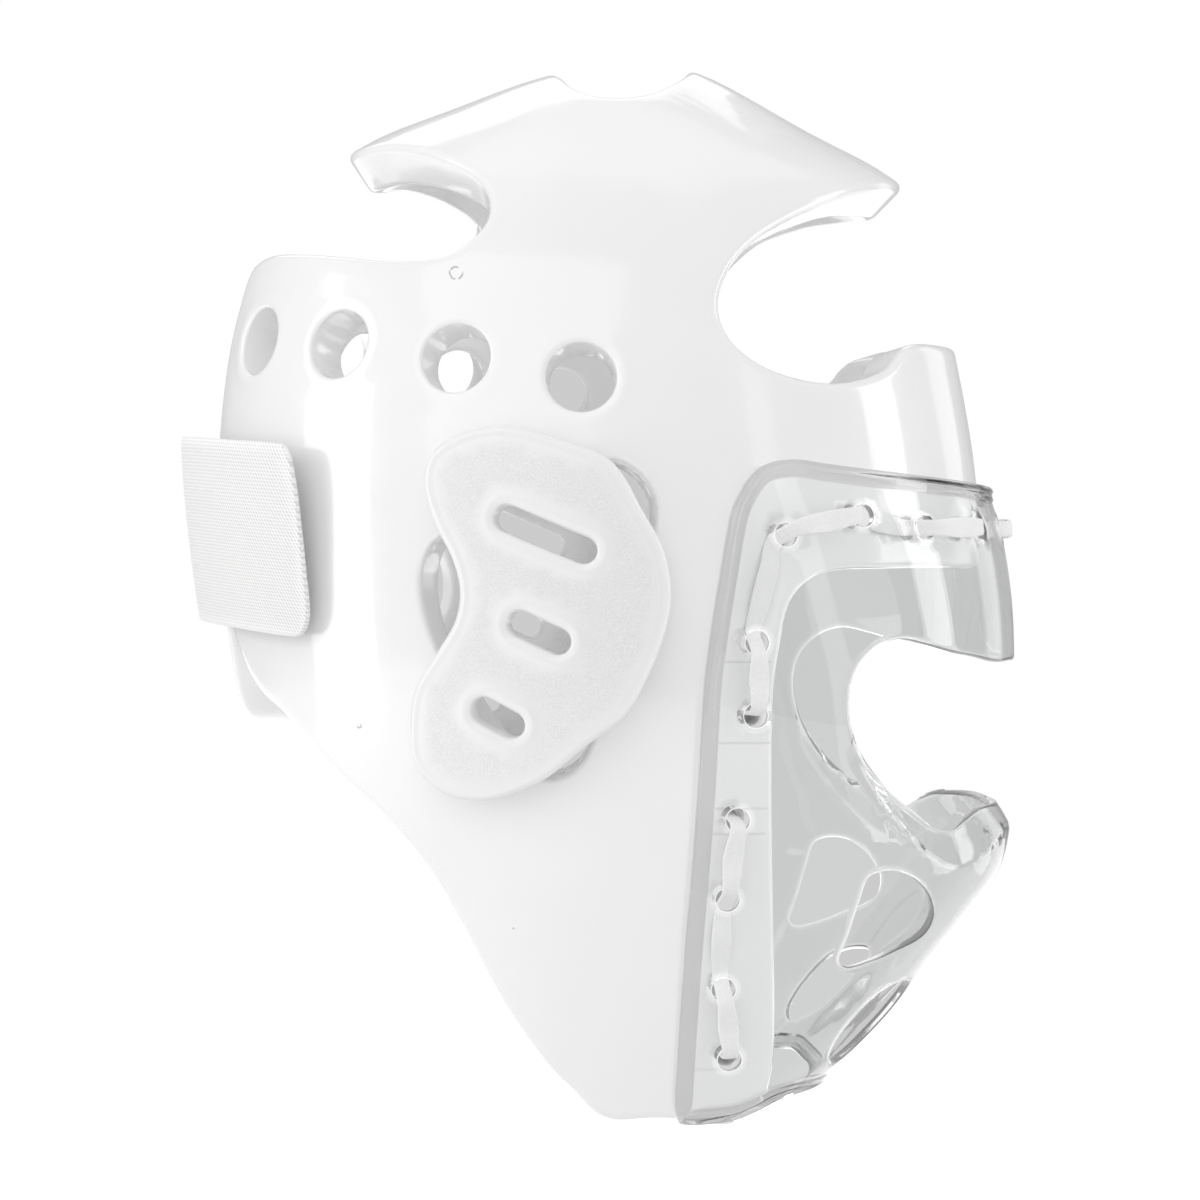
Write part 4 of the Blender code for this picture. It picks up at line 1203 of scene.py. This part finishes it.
def add_light(name, place, size, power):
    data = bpy.data.lights.new(name, "AREA")
    data.shape = "RECTANGLE"
    data.size, data.size_y = size
    data.energy = power
    lamp = bpy.data.objects.new(name, data)
    lamp.location = place
    lamp.rotation_euler = (Vector(LIGHT_AIM) - Vector(place)).to_track_quat("-Z", "Y").to_euler()
    bpy.context.scene.collection.objects.link(lamp)


def off_middle(nodes, x, z, middle, half):
    """How far a direction is from the middle of an oval: 0 in the middle and 1 on its line."""
    squares = []
    for value, centre, extent in zip((x, z), middle, half):
        across = nodes.maths("DIVIDE", nodes.maths("SUBTRACT", value, centre), extent)
        squares.append(nodes.maths("MULTIPLY", across, across))
    return nodes.maths("ADD", *squares)


def make_world():
    """A pale studio with darker sides, and a grey wall behind, which the clear plastic shows."""
    world = bpy.data.worlds.new("pale studio")
    bpy.context.scene.world = world
    nodes = Nodes(world)
    x, y, z = nodes.parts(nodes.coordinates("Generated"))
    front = nodes.fade(nodes.maths("ABSOLUTE", x), *SIDES_FROM, WORLD_FRONT, WORLD_SIDES)
    wall = nodes.fade(off_middle(nodes, x, z, *WALL_OVAL), *WALL_FADE, WORLD_BEHIND, WORLD_AROUND)
    seen = 1.0
    for oval in SEEN_OVALS:
        oval_tone = nodes.fade(off_middle(nodes, x, z, *oval), *SEEN_OVAL_FADE, SEEN_OVAL_TONE, 1.0)
        seen = nodes.maths("MINIMUM", seen, oval_tone)
    choice = nodes.new("Mix")
    nodes.link(nodes.new("LightPath").outputs["Is Camera Ray"], choice.inputs["Factor"])
    nodes.link(nodes.fade(y, *BEHIND_FROM, front, wall), choice.inputs["A"])
    in_front = nodes.maths("LESS_THAN", y, 0.0)
    nodes.link(nodes.maths("MAXIMUM", seen, in_front), choice.inputs["B"])
    background = nodes.tree.nodes["Background"]
    background.inputs["Color"].default_value = grey(1.0)
    nodes.link(choice.outputs[0], background.inputs["Strength"])


def make_floor():
    """A pale floor well below the guard."""
    mesh = bpy.data.meshes.new("studio_floor")
    turns = ((-1, -1), (1, -1), (1, 1), (-1, 1))
    corners = [(x * FLOOR_HALF_SIZE, y * FLOOR_HALF_SIZE, -FLOOR_DROP) for x, y in turns]
    mesh.from_pydata(corners, [], [(0, 1, 2, 3)])
    nodes = new_finish("pale floor")
    mesh.materials.append(nodes.finish({
        "Base Color": nodes.colour(nodes.noise(3, 3), grey(0.9), grey(0.94)),
        "Roughness": 0.9,
        "Emission Color": grey(1.0),
        "Emission Strength": FLOOR_GLOW,
    }))
    floor = bpy.data.objects.new("studio_floor", mesh)
    floor.visible_transmission = False
    floor.visible_diffuse = False
    bpy.context.scene.collection.objects.link(floor)


def make_camera():
    azimuth = math.radians(CAMERA_AZIMUTH)
    elevation = math.radians(CAMERA_ELEVATION)
    back = Vector((
        math.sin(azimuth) * math.cos(elevation),
        -math.cos(azimuth) * math.cos(elevation),
        math.sin(elevation),
    ))
    data = bpy.data.cameras.new("camera")
    data.sensor_width = SENSOR_MM
    data.lens = SENSOR_MM * CAMERA_DISTANCE / (FRAME_PIXELS / PIXELS_PER_MM * MM)
    camera = bpy.data.objects.new("camera", data)
    camera.location = CAMERA_TARGET + back * CAMERA_DISTANCE
    camera.rotation_euler = (-back).to_track_quat("-Z", "Y").to_euler()
    bpy.context.scene.collection.objects.link(camera)
    bpy.context.scene.camera = camera


def make_studio():
    bpy.context.scene.view_settings.view_transform = "Standard"
    make_world()
    make_floor()
    for name, place, size, power in LIGHTS:
        add_light(name, place, size, power)


vinyl = dipped_vinyl()
pebbled = pebbled_vinyl()
make_foam(vinyl)
make_cover("ear_cover_right_pebbled", "ear_cover_right", -1, pebbled)
make_cover("ear_cover_left_pebbled", "ear_cover_left", 1, pebbled)
make_strap(twill_elastic())
make_shield(clear_plastic())
make_lace(woven_lace())
make_studio()
make_camera()
